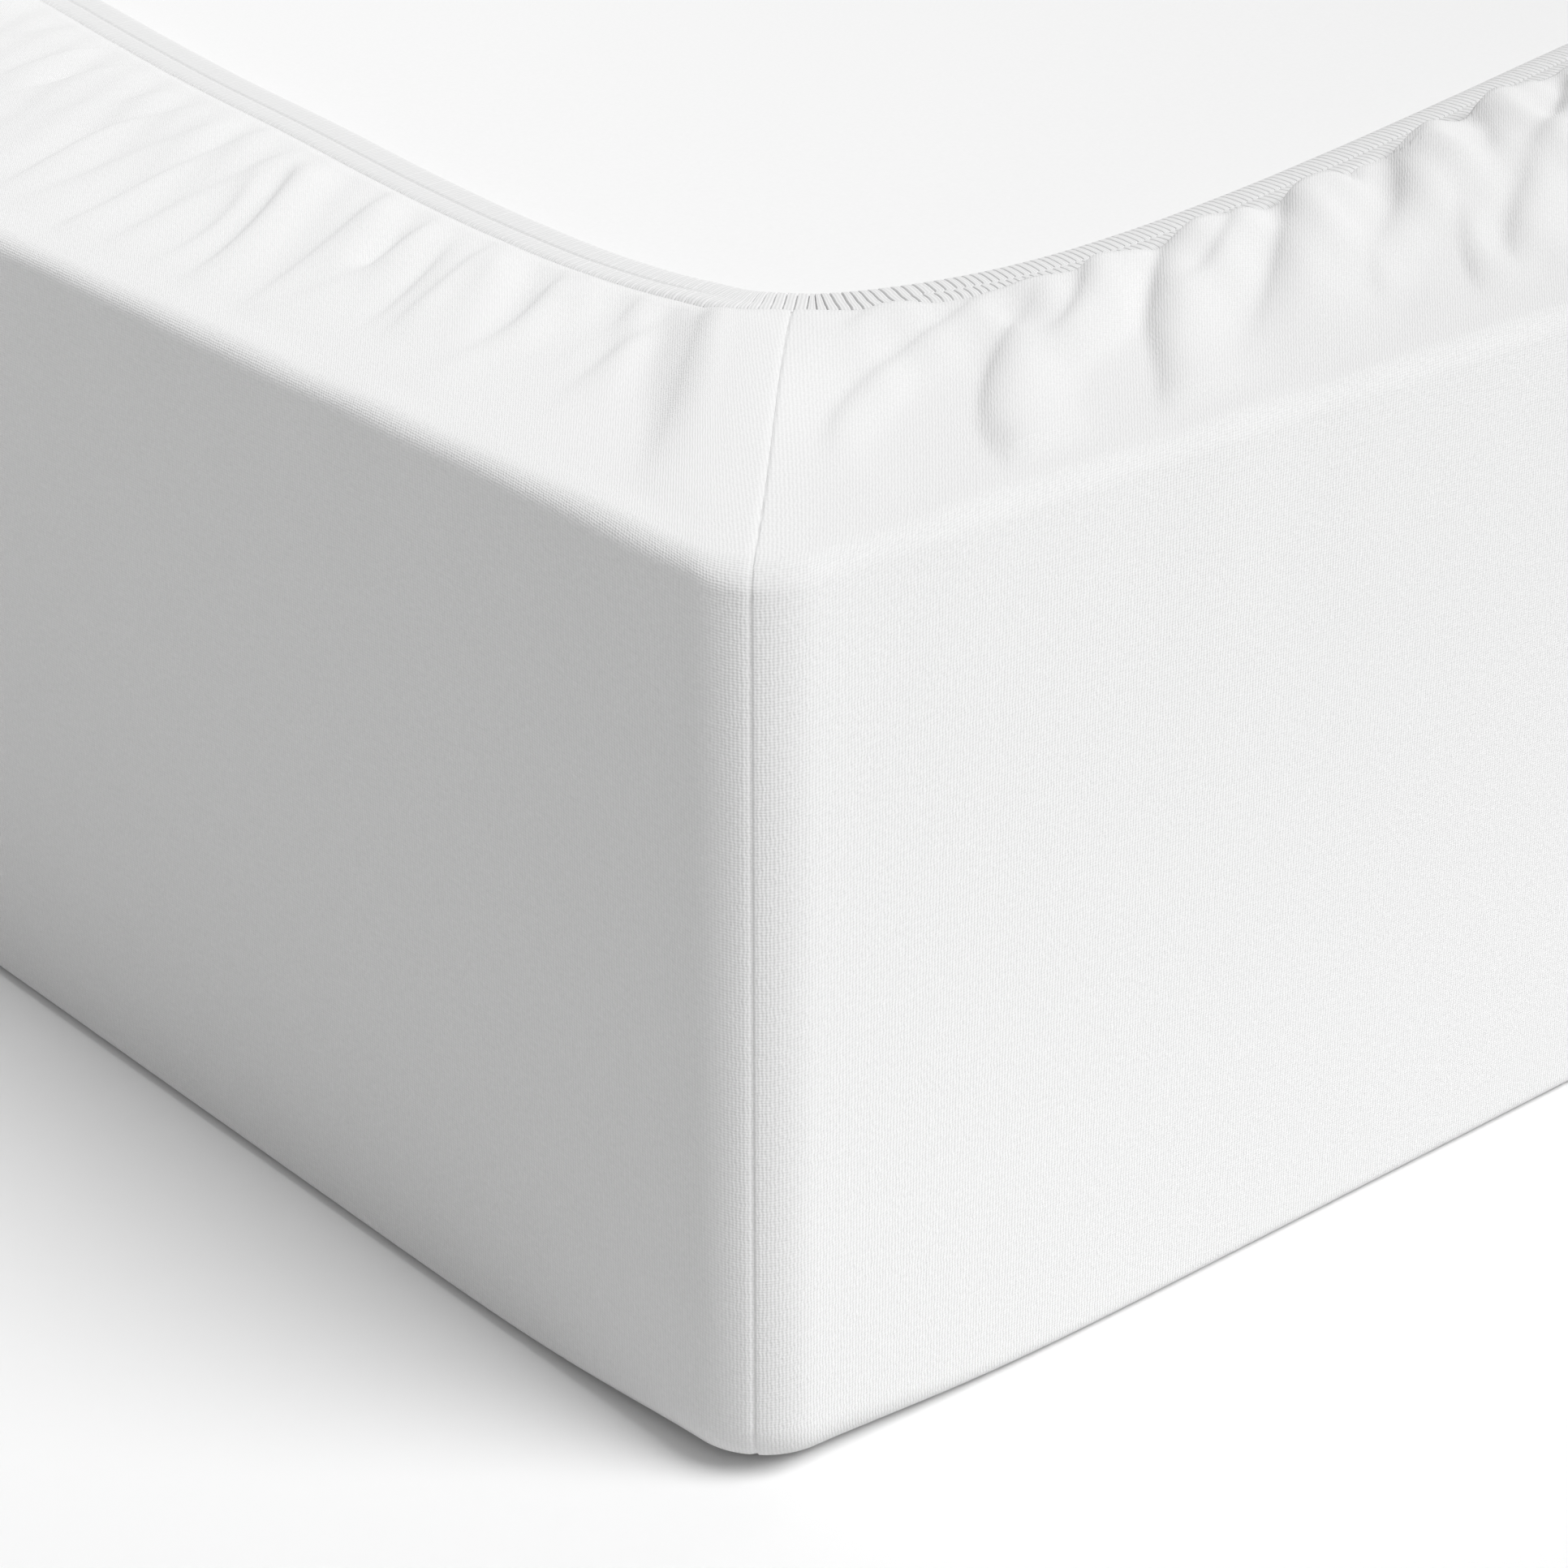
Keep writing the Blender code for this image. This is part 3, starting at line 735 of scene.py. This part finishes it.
def hem_curve():
    """The hem, counter-clockwise from the front seam: points, distance from the nearest seam, which way that
    seam lies, -1 behind and 1 ahead, whether it is the front one, and whether the side is long."""
    turns = []
    for turn, (corner, is_long) in enumerate(TURNS):
        table = HEM_LONG if is_long else HEM_SHORT
        along = np.arange(table[0][0], table[-1][0], HEM_STEP)
        inward = hem_at(along, is_long)
        away = running_sum(np.hypot(np.diff(along), np.diff(inward)))
        side = one_side(corner, is_long, len(along))
        back = turn % 2 == 1
        values = [place(side, along, inward, TOP), away]
        values += [np.full(len(along), value) for value in (1 if back else -1, corner == FRONT, is_long)]
        turns.append([value[::-1][:-1] if back else value for value in values])
    return [np.concatenate(parts) for parts in zip(*turns)]


def pleat_phase(way, away, all_round):
    """Pleats counted along the hem: the sum of 1 / pitch, with a pitch that shrinks away from the seams and
    wanders a little, stretched so that a whole number goes round."""
    rng = np.random.default_rng(PLEAT_SEED)
    pitch = PLEAT_AT_SEAM + (PLEAT_ON_SIDE - PLEAT_AT_SEAM) * smooth(away, *PLEATS_FINER)
    wander = 1 + PLEAT_JITTER * waves(way, PLEAT_WAVES, all_round, rng)
    phase = running_sum(np.diff(way, append=all_round) * wander / pitch)
    return phase * round(phase[-1]) / phase[-1]


hem_xyz, hem_away, seam_ahead, hem_front, hem_long = hem_curve()
closed = np.concatenate([hem_xyz, hem_xyz[:1]])
hem_way = running_sum(np.linalg.norm(np.diff(closed, axis=0), axis=1))
HEM_ROUND = hem_way[-1]
hem_phase = pleat_phase(hem_way[:-1], hem_away, HEM_ROUND)
print("hem", round(HEM_ROUND, 3), "m round,", int(hem_phase[-1]), "pleats")

# %% [markdown]
# Across the strip there are two rows, the inner one wider, with the groove of the stitch line between them.
# The outer edge is sewn down onto the cloth, and the inner edge rounds down to the mattress. A pleat is a
# flat plate that leans back slightly, with a narrow slit between it and the next.

# %% The band's shape across and along
# From the band's outer edge in: (in from the hem, height over the top plane, share of a pleat's height)
BAND_SECTION = (
    (0.0004, -0.00110, 0.00), (0.0005, -0.00035, 0.00), (0.0011, 0.00030, 0.35), (0.0022, 0.00080, 0.85),
    (0.0038, 0.00100, 1.00), (0.0056, 0.00100, 1.00), (0.0072, 0.00085, 1.00), (0.0082, 0.00080, 0.90),
    (0.0087, 0.00080, 0.70), (0.0092, 0.00080, 0.90), (0.0102, 0.00085, 1.00), (0.0130, 0.00100, 1.00),
    (0.0155, 0.00095, 1.00), (0.0176, 0.00065, 0.90), (0.0190, 0.00010, 0.50), (0.0197, -0.00100, 0.10),
    (0.0195, -0.00190, 0.00),
)
GROOVE_ROW = 8
GROOVE_ROWS = (7, 8, 9)
TOP_ROWS = (3, 13)
BAND_LEVEL = 0.00080
# Round the corner, on a long side, on a short side: how full the rows stand, how high the pleats are and how
# deep the groove is. Between the distances PLEATS_LOWER from the seam the first passes to the others
ROW_FULLNESS = (1.0, 0.85, 0.30)
PLEAT_HEIGHTS = (0.00100, 0.00055, 0.00048)
GROOVE_DEPTHS = (0.00005, 0.00015, 0.00055)
PLEATS_LOWER = (0.016, 0.080)
SLIT_HALF = 0.125
PLATE_LEAN = 0.15
# How far a pleat slants for each metre in, between which distances from the seam it comes to that, and where
# towards the middle of a side it is upright again
SLANT = 0.15
SLANTED = (0.015, 0.060)
UPRIGHT_BY = HALF_SHORT - 0.13
UPRIGHT_RUN = 0.20
ROWS_PART = (0.030, 0.045)


def band_columns():
    """Phases of the band's columns: PLEAT_POINTS in every pleat near a seam and in the front part, and one
    in every second pleat elsewhere. And which pleats have the points."""
    whole = np.arange(int(hem_phase[-1]))
    at = np.searchsorted(hem_phase, whole)
    pleated = np.where(hem_front[at], hem_away[at] < FRONT_REACH, hem_away[at] < OTHER_REACH)
    fine = (whole[pleated, None] + np.array(PLEAT_POINTS)).ravel()
    return np.sort(np.concatenate([fine, whole[~pleated][::PLAIN_PLEATS]])), pleated


def on_hem(way):
    """Points of the hem, and its unit normals towards the mattress's middle, at ways round it."""
    def at(w):
        w = np.mod(w, HEM_ROUND)
        return np.stack([np.interp(w, hem_way, closed[:, axis]) for axis in (0, 1)], axis=-1)

    forward = at(way + 2 * HEM_STEP) - at(way - 2 * HEM_STEP)
    inwards = np.stack([-forward[..., 1], forward[..., 0]], axis=-1)
    return at(way), inwards / np.linalg.norm(inwards, axis=-1, keepdims=True)


def hem_value(way, values):
    """One of the hem's values, such as hem_away, at ways round it."""
    return np.interp(way, hem_way[:-1], values)


def by_side(way, values):
    """Values along the hem: the first round corners, the second on long sides, the third on short ones."""
    on_side = between(values[1:], hem_value(way, hem_long))
    return values[0] + (on_side - values[0]) * smooth(hem_value(way, hem_away), *PLEATS_LOWER)


def band_grid():
    """The band's points, as columns by section, each column's phase, and the section's metres in from the
    hem. A column runs along its pleat, which leans away from the seam by SLANT."""
    phase, pleated = band_columns()
    way = np.interp(phase, hem_phase, hem_way)
    away = hem_value(way, hem_away)
    inward, rise, share = np.array(BAND_SECTION).T
    rows = np.arange(len(inward))
    slant = SLANT * smooth(away, *SLANTED) * smooth((UPRIGHT_BY - away) / UPRIGHT_RUN)
    shift = (-hem_value(way, seam_ahead) * slant)[:, None] * inward
    # The inner row's pleats stand half a pitch on from the outer row's, except round the corners
    parted = smooth(away, *ROWS_PART)[:, None]
    half_pitch = 0.5 * np.gradient(way, phase)[:, None]
    flat, normal = on_hem(way[:, None] + shift + half_pitch * parted * (rows > GROOVE_ROW))
    # The groove between the rows fades out round the corners, where a pleat lies right across
    whole = np.isin(rows, GROOVE_ROWS) * (1 - parted)
    rise = rise + (BAND_LEVEL - rise) * whole
    share = share + (1 - share) * whole
    on_top = (rows >= TOP_ROWS[0]) & (rows <= TOP_ROWS[1]) & (rows != GROOVE_ROW)
    levelled = BAND_LEVEL + (rise - BAND_LEVEL) * by_side(way, ROW_FULLNESS)[:, None]
    rise = np.where(on_top, levelled, rise)
    rise[:, GROOVE_ROW] -= by_side(way, GROOVE_DEPTHS)
    fraction = np.mod(phase, 1.0)[:, None]
    pleat = smooth(np.minimum(fraction, 1 - fraction) / SLIT_HALF) * (1 - PLATE_LEAN * fraction)
    has_pleats = np.interp(phase, np.arange(len(pleated)), pleated)
    height = TOP + rise + (by_side(way, PLEAT_HEIGHTS) * has_pleats)[:, None] * pleat * share
    xy = flat + normal * (GAP + inward)[:, None]
    return np.concatenate([xy, height[..., None]], axis=-1), phase, inward


def band_object():
    """The band as one closed tube: its section goes over the top and straight back underneath."""
    points, phase, inward = band_grid()
    numbers = np.arange(points[..., 0].size).reshape(points.shape[:2])
    quads = quads_of(np.append(numbers, numbers[:1], axis=0))[:, (0, 3, 2, 1)]
    count, across = np.append(phase, hem_phase[-1]), np.append(inward, inward[0])
    uv = np.stack(np.meshgrid(count, across, indexing="ij"), axis=-1)
    uvs = np.stack([uv[:-1, :-1], uv[1:, :-1], uv[1:, 1:], uv[:-1, 1:]], axis=2)
    return new_mesh("elastic_hem", points.reshape(-1, 3), [quads], uvs)


elastic_hem = band_object()
print("band of", len(elastic_hem.data.polygons), "faces")

# %% [markdown]
# ## Sewing thread
#
# Two lines of stitches hold the elastic: one in the groove between its rows, one along its outer edge. Each
# stitch is a short thread that dips into the cloth at both ends. One is worked out and repeated.

# %% Stitches
STITCH_PITCH = 0.0020
STITCH_LENGTH = 0.0014
THREAD_RADIUS = 0.00022
STITCH_SIDES = 4
# How full the thread is at each ring of a stitch, and how thick its ends are and how deep they dip, in radii
STITCH_RINGS = (0.0, 1.0, 1.0, 0.0)
STITCH_END = 0.25
STITCH_DIP = 0.5
# (in from the hem, height over the top plane, whether it lies in the groove)
STITCH_LINES = ((0.0087, 0.00078, True), (0.0018, 0.00068, False))
STITCH_SEED = 5
STITCH_JITTER = 0.08
STITCH_TURN = 0.12


def stitch_shape():
    """One stitch along its own x axis: its points, and its faces in two groups, sides and ends."""
    full = np.array(STITCH_RINGS)[:, None]
    turn = 2 * math.pi * (np.arange(STITCH_SIDES) + 0.5) / STITCH_SIDES
    radius = THREAD_RADIUS * (STITCH_END + (1 - STITCH_END) * full)
    x = np.linspace(-0.5, 0.5, len(full))[:, None] * STITCH_LENGTH + 0 * turn
    z = radius * np.sin(turn) - STITCH_DIP * THREAD_RADIUS * (1 - full)
    shape = np.stack([x, radius * np.cos(turn), z], axis=-1).reshape(-1, 3)
    numbers = np.arange(len(shape)).reshape(x.shape)
    return shape, [quads_of(numbers), np.stack([numbers[0, ::-1], numbers[-1]])]


def sewing():
    """All stitches of both lines as one mesh, each laid along the hem where it stands."""
    rng = np.random.default_rng(STITCH_SEED)
    shape, faces = stitch_shape()
    count = round(HEM_ROUND / STITCH_PITCH)
    blocks, groups = [], []
    for inward, height, in_groove in STITCH_LINES:
        way = (np.arange(count) + rng.uniform(-STITCH_JITTER, STITCH_JITTER, count)) * HEM_ROUND / count
        # Round the corners the pleats lie over the stitches in the groove
        way = way[hem_value(way, hem_away) > ROWS_PART[0] * in_groove]
        flat, normal = on_hem(way)
        ahead = np.stack([normal[:, 1], -normal[:, 0]], axis=1)
        turn = rng.uniform(-STITCH_TURN, STITCH_TURN, len(way))[:, None]
        forward = ahead * np.cos(turn) + normal * np.sin(turn)
        across = normal * np.cos(turn) - ahead * np.sin(turn)
        centre = flat + normal * (GAP + inward)
        xy = centre[:, None] + forward[:, None] * shape[:, :1] + across[:, None] * shape[:, 1:2]
        z = TOP + (height - by_side(way, GROOVE_DEPTHS) * in_groove)[:, None] + shape[:, 2]
        first = sum(len(block) for block in blocks) + np.arange(len(way))[:, None] * len(shape)
        blocks.append(np.concatenate([xy, z[..., None]], axis=-1).reshape(-1, 3))
        groups += [(part[:, None] + first).reshape(-1, part.shape[1]) for part in faces]
    return new_mesh("hem_stitching", np.concatenate(blocks), groups)


hem_stitching = sewing()
print("stitches in", len(hem_stitching.data.polygons), "faces")

# %% [markdown]
# ## The mattress
#
# The mattress only shows in the mouth of the sheet, plain and almost flat. It is still a whole closed body,
# a small gap inside the cloth: rings of its rounded outline go from the floor panel up to the top, and both
# panels close to their middles.

# %% Mattress
MATTRESS_INSET = CLOTH_OF_SOLID + GAP
MATTRESS_LINES = 6
MATTRESS_STEPS = 5
MATTRESS_EASE = 0.002
PANEL_RINGS = 26
PANEL_WAVE = 0.0005
PANEL_WAVE_LENGTHS = (0.31, 0.47, 0.19)


def mattress_object():
    """Rings round the bottom edge, up the wall, round the top edge and in to the middle of the top panel."""
    chosen = {name: values[::MATTRESS_LINES] for name, values in lines.items() if name != "all_round"}
    along, pull = foot(chosen["way"], MATTRESS_INSET)
    slant = lean(along, chosen["is_long"])
    bottom, top = BOTTOM_ROLL_AT_CORNER, TOP_ROLL + MATTRESS_EASE
    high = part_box("mattress")[1].z
    edges = [(bottom * far, MATTRESS_INSET + bottom * near) for far, near in quarter(MATTRESS_STEPS)]
    edges += [(top * near, high - top * far) for far, near in quarter(MATTRESS_STEPS)]
    rings = [place(chosen, along + inset * slant, pull + inset, height) for inset, height in edges]
    panel_edge = rings[-1]
    for share in np.linspace(1, 0, PANEL_RINGS, endpoint=False)[1:]:
        ring = panel_edge * share
        ring[:, 2] = high
        # Each wave runs its own way, one radian on from the last
        for turn, length in enumerate(PANEL_WAVE_LENGTHS):
            phase = 2 * math.pi * (ring[:, 0] * math.cos(turn) + ring[:, 1] * math.sin(turn)) / length
            ring[:, 2] -= PANEL_WAVE / len(PANEL_WAVE_LENGTHS) * (1 + np.sin(phase))
        rings.append(ring)
    flat = np.concatenate([*rings, [[0, 0, MATTRESS_INSET]], [[0, 0, high]]])
    numbers = np.arange(len(rings) * len(along)).reshape(len(rings), -1)
    floor_panel, top_panel = fan(numbers[0, ::-1], len(flat) - 2), fan(numbers[-1], len(flat) - 1)
    return new_mesh("mattress_underside", flat, [quads_of(numbers), floor_panel, top_panel])


mattress_underside = mattress_object()
print("mattress of", len(mattress_underside.data.polygons), "faces")

# %% [markdown]
# ## Finishes
#
# Everything is nearly white, so only the surface tells the pieces apart. One pattern gives each material
# both its two tones and, but for the thread, its relief; the darker tone lies in the relief's hollows,
# painted shade.

# %% Colours, nodes and fabrics
# What all fabrics share: they are matt and slightly downy
DOWNY = {"Diffuse Roughness": 0.8, "Sheen Roughness": 0.5, "Specular IOR Level": 0.25}
# The scale at which a wave texture has one wave to each unit
ONE_A_UNIT = 0.3142


def linear(code):
    """An sRGB hex colour as linear red, green, blue and alpha."""
    parts = [int(code[i : i + 2], 16) / 255 for i in (1, 3, 5)]
    return (*[p / 12.92 if p <= 0.04045 else ((p + 0.055) / 1.055) ** 2.4 for p in parts], 1.0)


def add(tree, kind, links=None, **settings):
    """Adds one node. settings are its own properties or, as in_NAME, values of its inputs, and links maps an
    input's name or number to the output that feeds it."""
    node = tree.nodes.new(kind)
    for name, value in settings.items():
        if name.startswith("in_"):
            key = name[3:]
            node.inputs[int(key) if key.isdigit() else key.replace("_", " ")].default_value = value
        else:
            setattr(node, name, value)
    for key, output in (links or {}).items():
        tree.links.new(output, node.inputs[key])
    return node


def new_material(name, **values):
    """A material and its nodes, with values for its shader's inputs. A _ in a name stands for a space."""
    material = bpy.data.materials.new(name)
    material.use_nodes = True
    shader = material.node_tree.nodes["Principled BSDF"]
    for key, value in values.items():
        shader.inputs[key.replace("_", " ")].default_value = value
    return material, material.node_tree


# Painted shade: where a relief is given, its low parts take the darker tone
def tones_and_painted_hollow_shade(tree, level, dark, light, depth=0.0, relief=1.0):
    """Colours a material dark where the level is 0 and light where it is 1, and raises it there by depth.
    Where there is a depth, the dark tone lies in the hollows of the relief as painted shade.
    """
    shader = tree.nodes["Principled BSDF"]
    tones = {"in_6": linear(dark), "in_7": linear(light)}
    tone = add(tree, "ShaderNodeMix", {"Factor": level}, data_type="RGBA", **tones)
    tree.links.new(tone.outputs[2], shader.inputs["Base Color"])
    if depth:
        bump = add(tree, "ShaderNodeBump", {"Height": level}, in_Strength=relief, in_Distance=depth)
        tree.links.new(bump.outputs["Normal"], shader.inputs["Normal"])


def scaled(tree, vector, *scale):
    """A vector times a scale by axis."""
    return add(tree, "ShaderNodeMapping", {"Vector": vector}, in_Scale=scale).outputs[0]


def ribs(tree, vector, direction, distortion, detail, detail_scale):
    """Ribs one unit apart, as a sine that noise bends."""
    return add(
        tree, "ShaderNodeTexWave", {"Vector": vector}, wave_type="BANDS", bands_direction=direction,
        in_Scale=ONE_A_UNIT, in_Distortion=distortion, in_Detail=detail, in_Detail_Scale=detail_scale,
    ).outputs["Fac"]


def grain(tree, scale, **settings):
    """Noise over the object, scale spots to a metre."""
    position = add(tree, "ShaderNodeTexCoord").outputs["Object"]
    return add(tree, "ShaderNodeTexNoise", {"Vector": position}, in_Scale=scale, **settings).outputs["Fac"]


def ranged(tree, value, **settings):
    """A value carried from one range to another. Either is 0 to 1 unless it is given."""
    return add(tree, "ShaderNodeMapRange", {"Value": value}, **settings).outputs["Result"]


def blend(tree, links, **settings):
    """A and B mixed by Factor."""
    return add(tree, "ShaderNodeMix", links, data_type="FLOAT", **settings).outputs["Result"]


# %% [markdown]
# The sheet is fine white cotton jersey. It shows wales, ribs about a millimetre apart that run up the walls,
# crossed by irregular short threads, with painted shade in their hollows. They follow the UV map, so they
# lean with the cloth on the tuck.

# %% White cotton jersey
WALE = 0.0010
COURSE = 0.00075
KNIT_DEPTH = 0.00017
# How much of the knit is left on the tuck, and how far past the top edge it comes down to that
KNIT_ON_TUCK = 0.85
SLACK_RUN = 0.06
COURSE_SHARE = 0.44
SLUB_SHARE = 0.32
SLUB_STRETCH = 0.60


def cotton_jersey():
    """Wales, the ribs across U, broken into short stitches by courses, the ribs across V, and by unevenly
    spun yarn. The darker tone sits in the hollows of this relief, as painted shade."""
    material, tree = new_material("white cotton jersey", Roughness=0.92, Sheen_Weight=0.10, **DOWNY)
    uv = add(tree, "ShaderNodeUVMap", uv_map="cloth").outputs["UV"]
    knit = scaled(tree, uv, 1 / WALE, 1 / COURSE, 1)
    wales = ribs(tree, knit, "X", distortion=3.0, detail=2.0, detail_scale=0.9)
    courses = ribs(tree, knit, "Y", distortion=3.0, detail=2.0, detail_scale=1.2)
    slubs = {"Vector": scaled(tree, knit, 1, SLUB_STRETCH, 1)}
    spun = add(tree, "ShaderNodeTexNoise", slubs, in_Scale=0.9, in_Detail=2.0).outputs["Fac"]
    yarn = ranged(tree, spun, in_From_Min=0.3, in_From_Max=0.7)
    cloth = blend(tree, {"A": wales, "B": courses}, in_Factor=COURSE_SHARE)
    cloth = blend(tree, {"A": cloth, "B": yarn}, in_Factor=SLUB_SHARE)
    # The taut walls show their ribs, both the relief and the painted shade in its hollows, more than the
    # slack border does, past the top edge
    up = add(tree, "ShaderNodeSeparateXYZ", {"Vector": uv}).outputs["Y"]
    taut = ranged(
        tree, up, in_From_Min=TOP, in_From_Max=TOP + SLACK_RUN, in_To_Min=1.0, in_To_Max=KNIT_ON_TUCK,
    )
    cloth = blend(tree, {"Factor": taut, "B": cloth}, in_A=0.5)
    # Painted shade: the darker tone goes into the hollows of the knit's relief
    tones_and_painted_hollow_shade(tree, cloth, "#E4E4E4", "#F5F5F5", KNIT_DEPTH)
    return material


# %% [markdown]
# The elastic is knitted over rubber, so its pleats are ribbed across. Its U coordinate counts pleats, which
# keeps the fine ribs in step with them.

# %% Ribbed elastic, sewing thread and ticking
RIBS_A_PLEAT = 3
RIB_ROWS = 900
RIB_DEPTH = 0.00007
TWISTS = 2500.0
WEAVE = 900.0
WEAVE_DEPTH = 0.0001


def ribbed_elastic():
    """Ribs at RIBS_A_PLEAT to each pleat with a slight zigzag of yarn, and painted shade in the grooves
    between them.
    """
    material, tree = new_material("white ribbed elastic", Roughness=0.85, Sheen_Weight=0.10, **DOWNY)
    uv = add(tree, "ShaderNodeUVMap", uv_map="cloth").outputs["UV"]
    pleats = scaled(tree, uv, RIBS_A_PLEAT, RIB_ROWS, 1)
    ribbed = ribs(tree, pleats, "X", distortion=1.5, detail=1.0, detail_scale=1.2)
    # Painted shade: the darker tone goes into the grooves between the ribs
    tones_and_painted_hollow_shade(tree, ribbed, "#DFDFDF", "#EEEEEE", RIB_DEPTH, relief=0.6)
    return material


def polyester_thread():
    """Twisted white thread, slightly glossier than the cloth. Its twist is finer than the render shows."""
    material, tree = new_material("white polyester thread", Roughness=0.6, Sheen_Weight=0.05, **DOWNY)
    tones_and_painted_hollow_shade(tree, grain(tree, TWISTS), "#E6E6E6", "#F2F2F2")
    return material


def mattress_ticking():
    """Smooth close-woven white cover, whose weave is too fine to show but for a faint grain, a tone that
    differs at random and is a touch darker in the low spots of its relief as painted shade.
    """
    material, tree = new_material("white woven ticking", Roughness=0.9, Sheen_Weight=0.05, **DOWNY)
    # The darker tone of the grain lies in the low spots of its faint relief, a little painted shade
    tones_and_painted_hollow_shade(tree, grain(tree, WEAVE, in_Detail=1.0), "#F0F0F0", "#F4F4F4", WEAVE_DEPTH, relief=0.2)
    return material


fitted_sheet.data.materials.append(cotton_jersey())
elastic_hem.data.materials.append(ribbed_elastic())
hem_stitching.data.materials.append(polyester_thread())
mattress_underside.data.materials.append(mattress_ticking())
print("materials", [material.name for material in bpy.data.materials])

# %% [markdown]
# ## What stands for what
#
# The fine pieces take the places of the imported solids.

# %% Bodies and solids
for piece, node, slot in (
    (fitted_sheet, "sheet_cloth", "sheet_cloth"),
    (elastic_hem, "elastic_band", "elastic_band"),
    (hem_stitching, None, "elastic_band"),
    (mattress_underside, "mattress", "mattress_ticking"),
):
    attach(piece, "root")
    if node:
        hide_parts(node)

# %% [markdown]
# ## Floor, light and camera
#
# A white floor, a bright even sky and one very large soft lamp high on the right give the pale studio look:
# the left wall is light grey, and the right wall, the top and the floor are white.

# %% Stage
FLOOR_HALF = 30.0
SKY_LOW = 0.186
SKY_RISE = 0.37
LAMP_WAY = (0.098, -0.304, 0.45)
LAMP_STRENGTH = 2.47
LAMP_ANGLE = 34


def studio_floor():
    """One large square of matt white paper."""
    corners = np.array([(-1, -1, 0), (1, -1, 0), (1, 1, 0), (-1, 1, 0)]) * FLOOR_HALF
    floor = new_mesh("studio_floor", corners, [np.array([[0, 1, 2, 3]])])
    material, _ = new_material(
        "white studio paper", Base_Color=linear("#F4F4F4"), Roughness=1.0, Specular_IOR_Level=0.0,
    )
    floor.data.materials.append(material)


def sky():
    """The world's light, SKY_LOW all round and SKY_RISE times z^2 more overhead."""
    world = bpy.data.worlds.new("pale studio")
    world.use_nodes = True
    tree = world.node_tree
    way = add(tree, "ShaderNodeTexCoord").outputs["Generated"]
    up = add(tree, "ShaderNodeSeparateXYZ", {"Vector": way}).outputs["Z"]
    squared = add(tree, "ShaderNodeMath", {0: up, 1: up}, operation="MULTIPLY").outputs["Value"]
    bright = add(tree, "ShaderNodeMath", {0: squared}, operation="MULTIPLY_ADD", in_1=SKY_RISE, in_2=SKY_LOW)
    tree.links.new(bright.outputs["Value"], tree.nodes["Background"].inputs["Strength"])
    tree.nodes["Background"].inputs["Color"].default_value = (1, 1, 1, 1)
    bpy.context.scene.world = world


def aimed(name, data, way, axis):
    """An object in the scene that points its axis along a way."""
    obj = bpy.data.objects.new(name, data)
    obj.rotation_euler = Vector(way).to_track_quat(axis, "Y").to_euler()
    bpy.context.scene.collection.objects.link(obj)
    return obj


def soft_lamp():
    """A sun as wide as a large soft box."""
    lamp = bpy.data.lights.new("soft lamp", "SUN")
    lamp.energy = LAMP_STRENGTH
    lamp.angle = math.radians(LAMP_ANGLE)
    aimed("soft lamp", lamp, LAMP_WAY, "Z")


studio_floor()
sky()
soft_lamp()
print("floor, sky, and a lamp from", LAMP_WAY)

# %% Camera
CAMERA_PLACE = (-1.52135, -1.32078, 0.59674)
CAMERA_YAW = 49.40717
CAMERA_DOWN = 25.92586
CAMERA_LENS = 90.381
CAMERA_SENSOR = 36
CAMERA_SEES = 100


def photo_camera():
    """The photograph's camera. Yaw is from +X towards +Y."""
    yaw, down = math.radians(CAMERA_YAW), math.radians(CAMERA_DOWN)
    data = bpy.data.cameras.new("photo camera")
    data.lens = CAMERA_LENS
    data.sensor_width = CAMERA_SENSOR
    data.clip_end = CAMERA_SEES
    way = (math.cos(yaw) * math.cos(down), math.sin(yaw) * math.cos(down), -math.sin(down))
    camera = aimed("photo camera", data, way, "-Z")
    camera.location = CAMERA_PLACE
    bpy.context.scene.camera = camera


photo_camera()
bpy.context.scene.view_settings.view_transform = "Standard"
print("camera at", CAMERA_PLACE)

# %% Bring the scene up to date
bpy.context.view_layer.update()
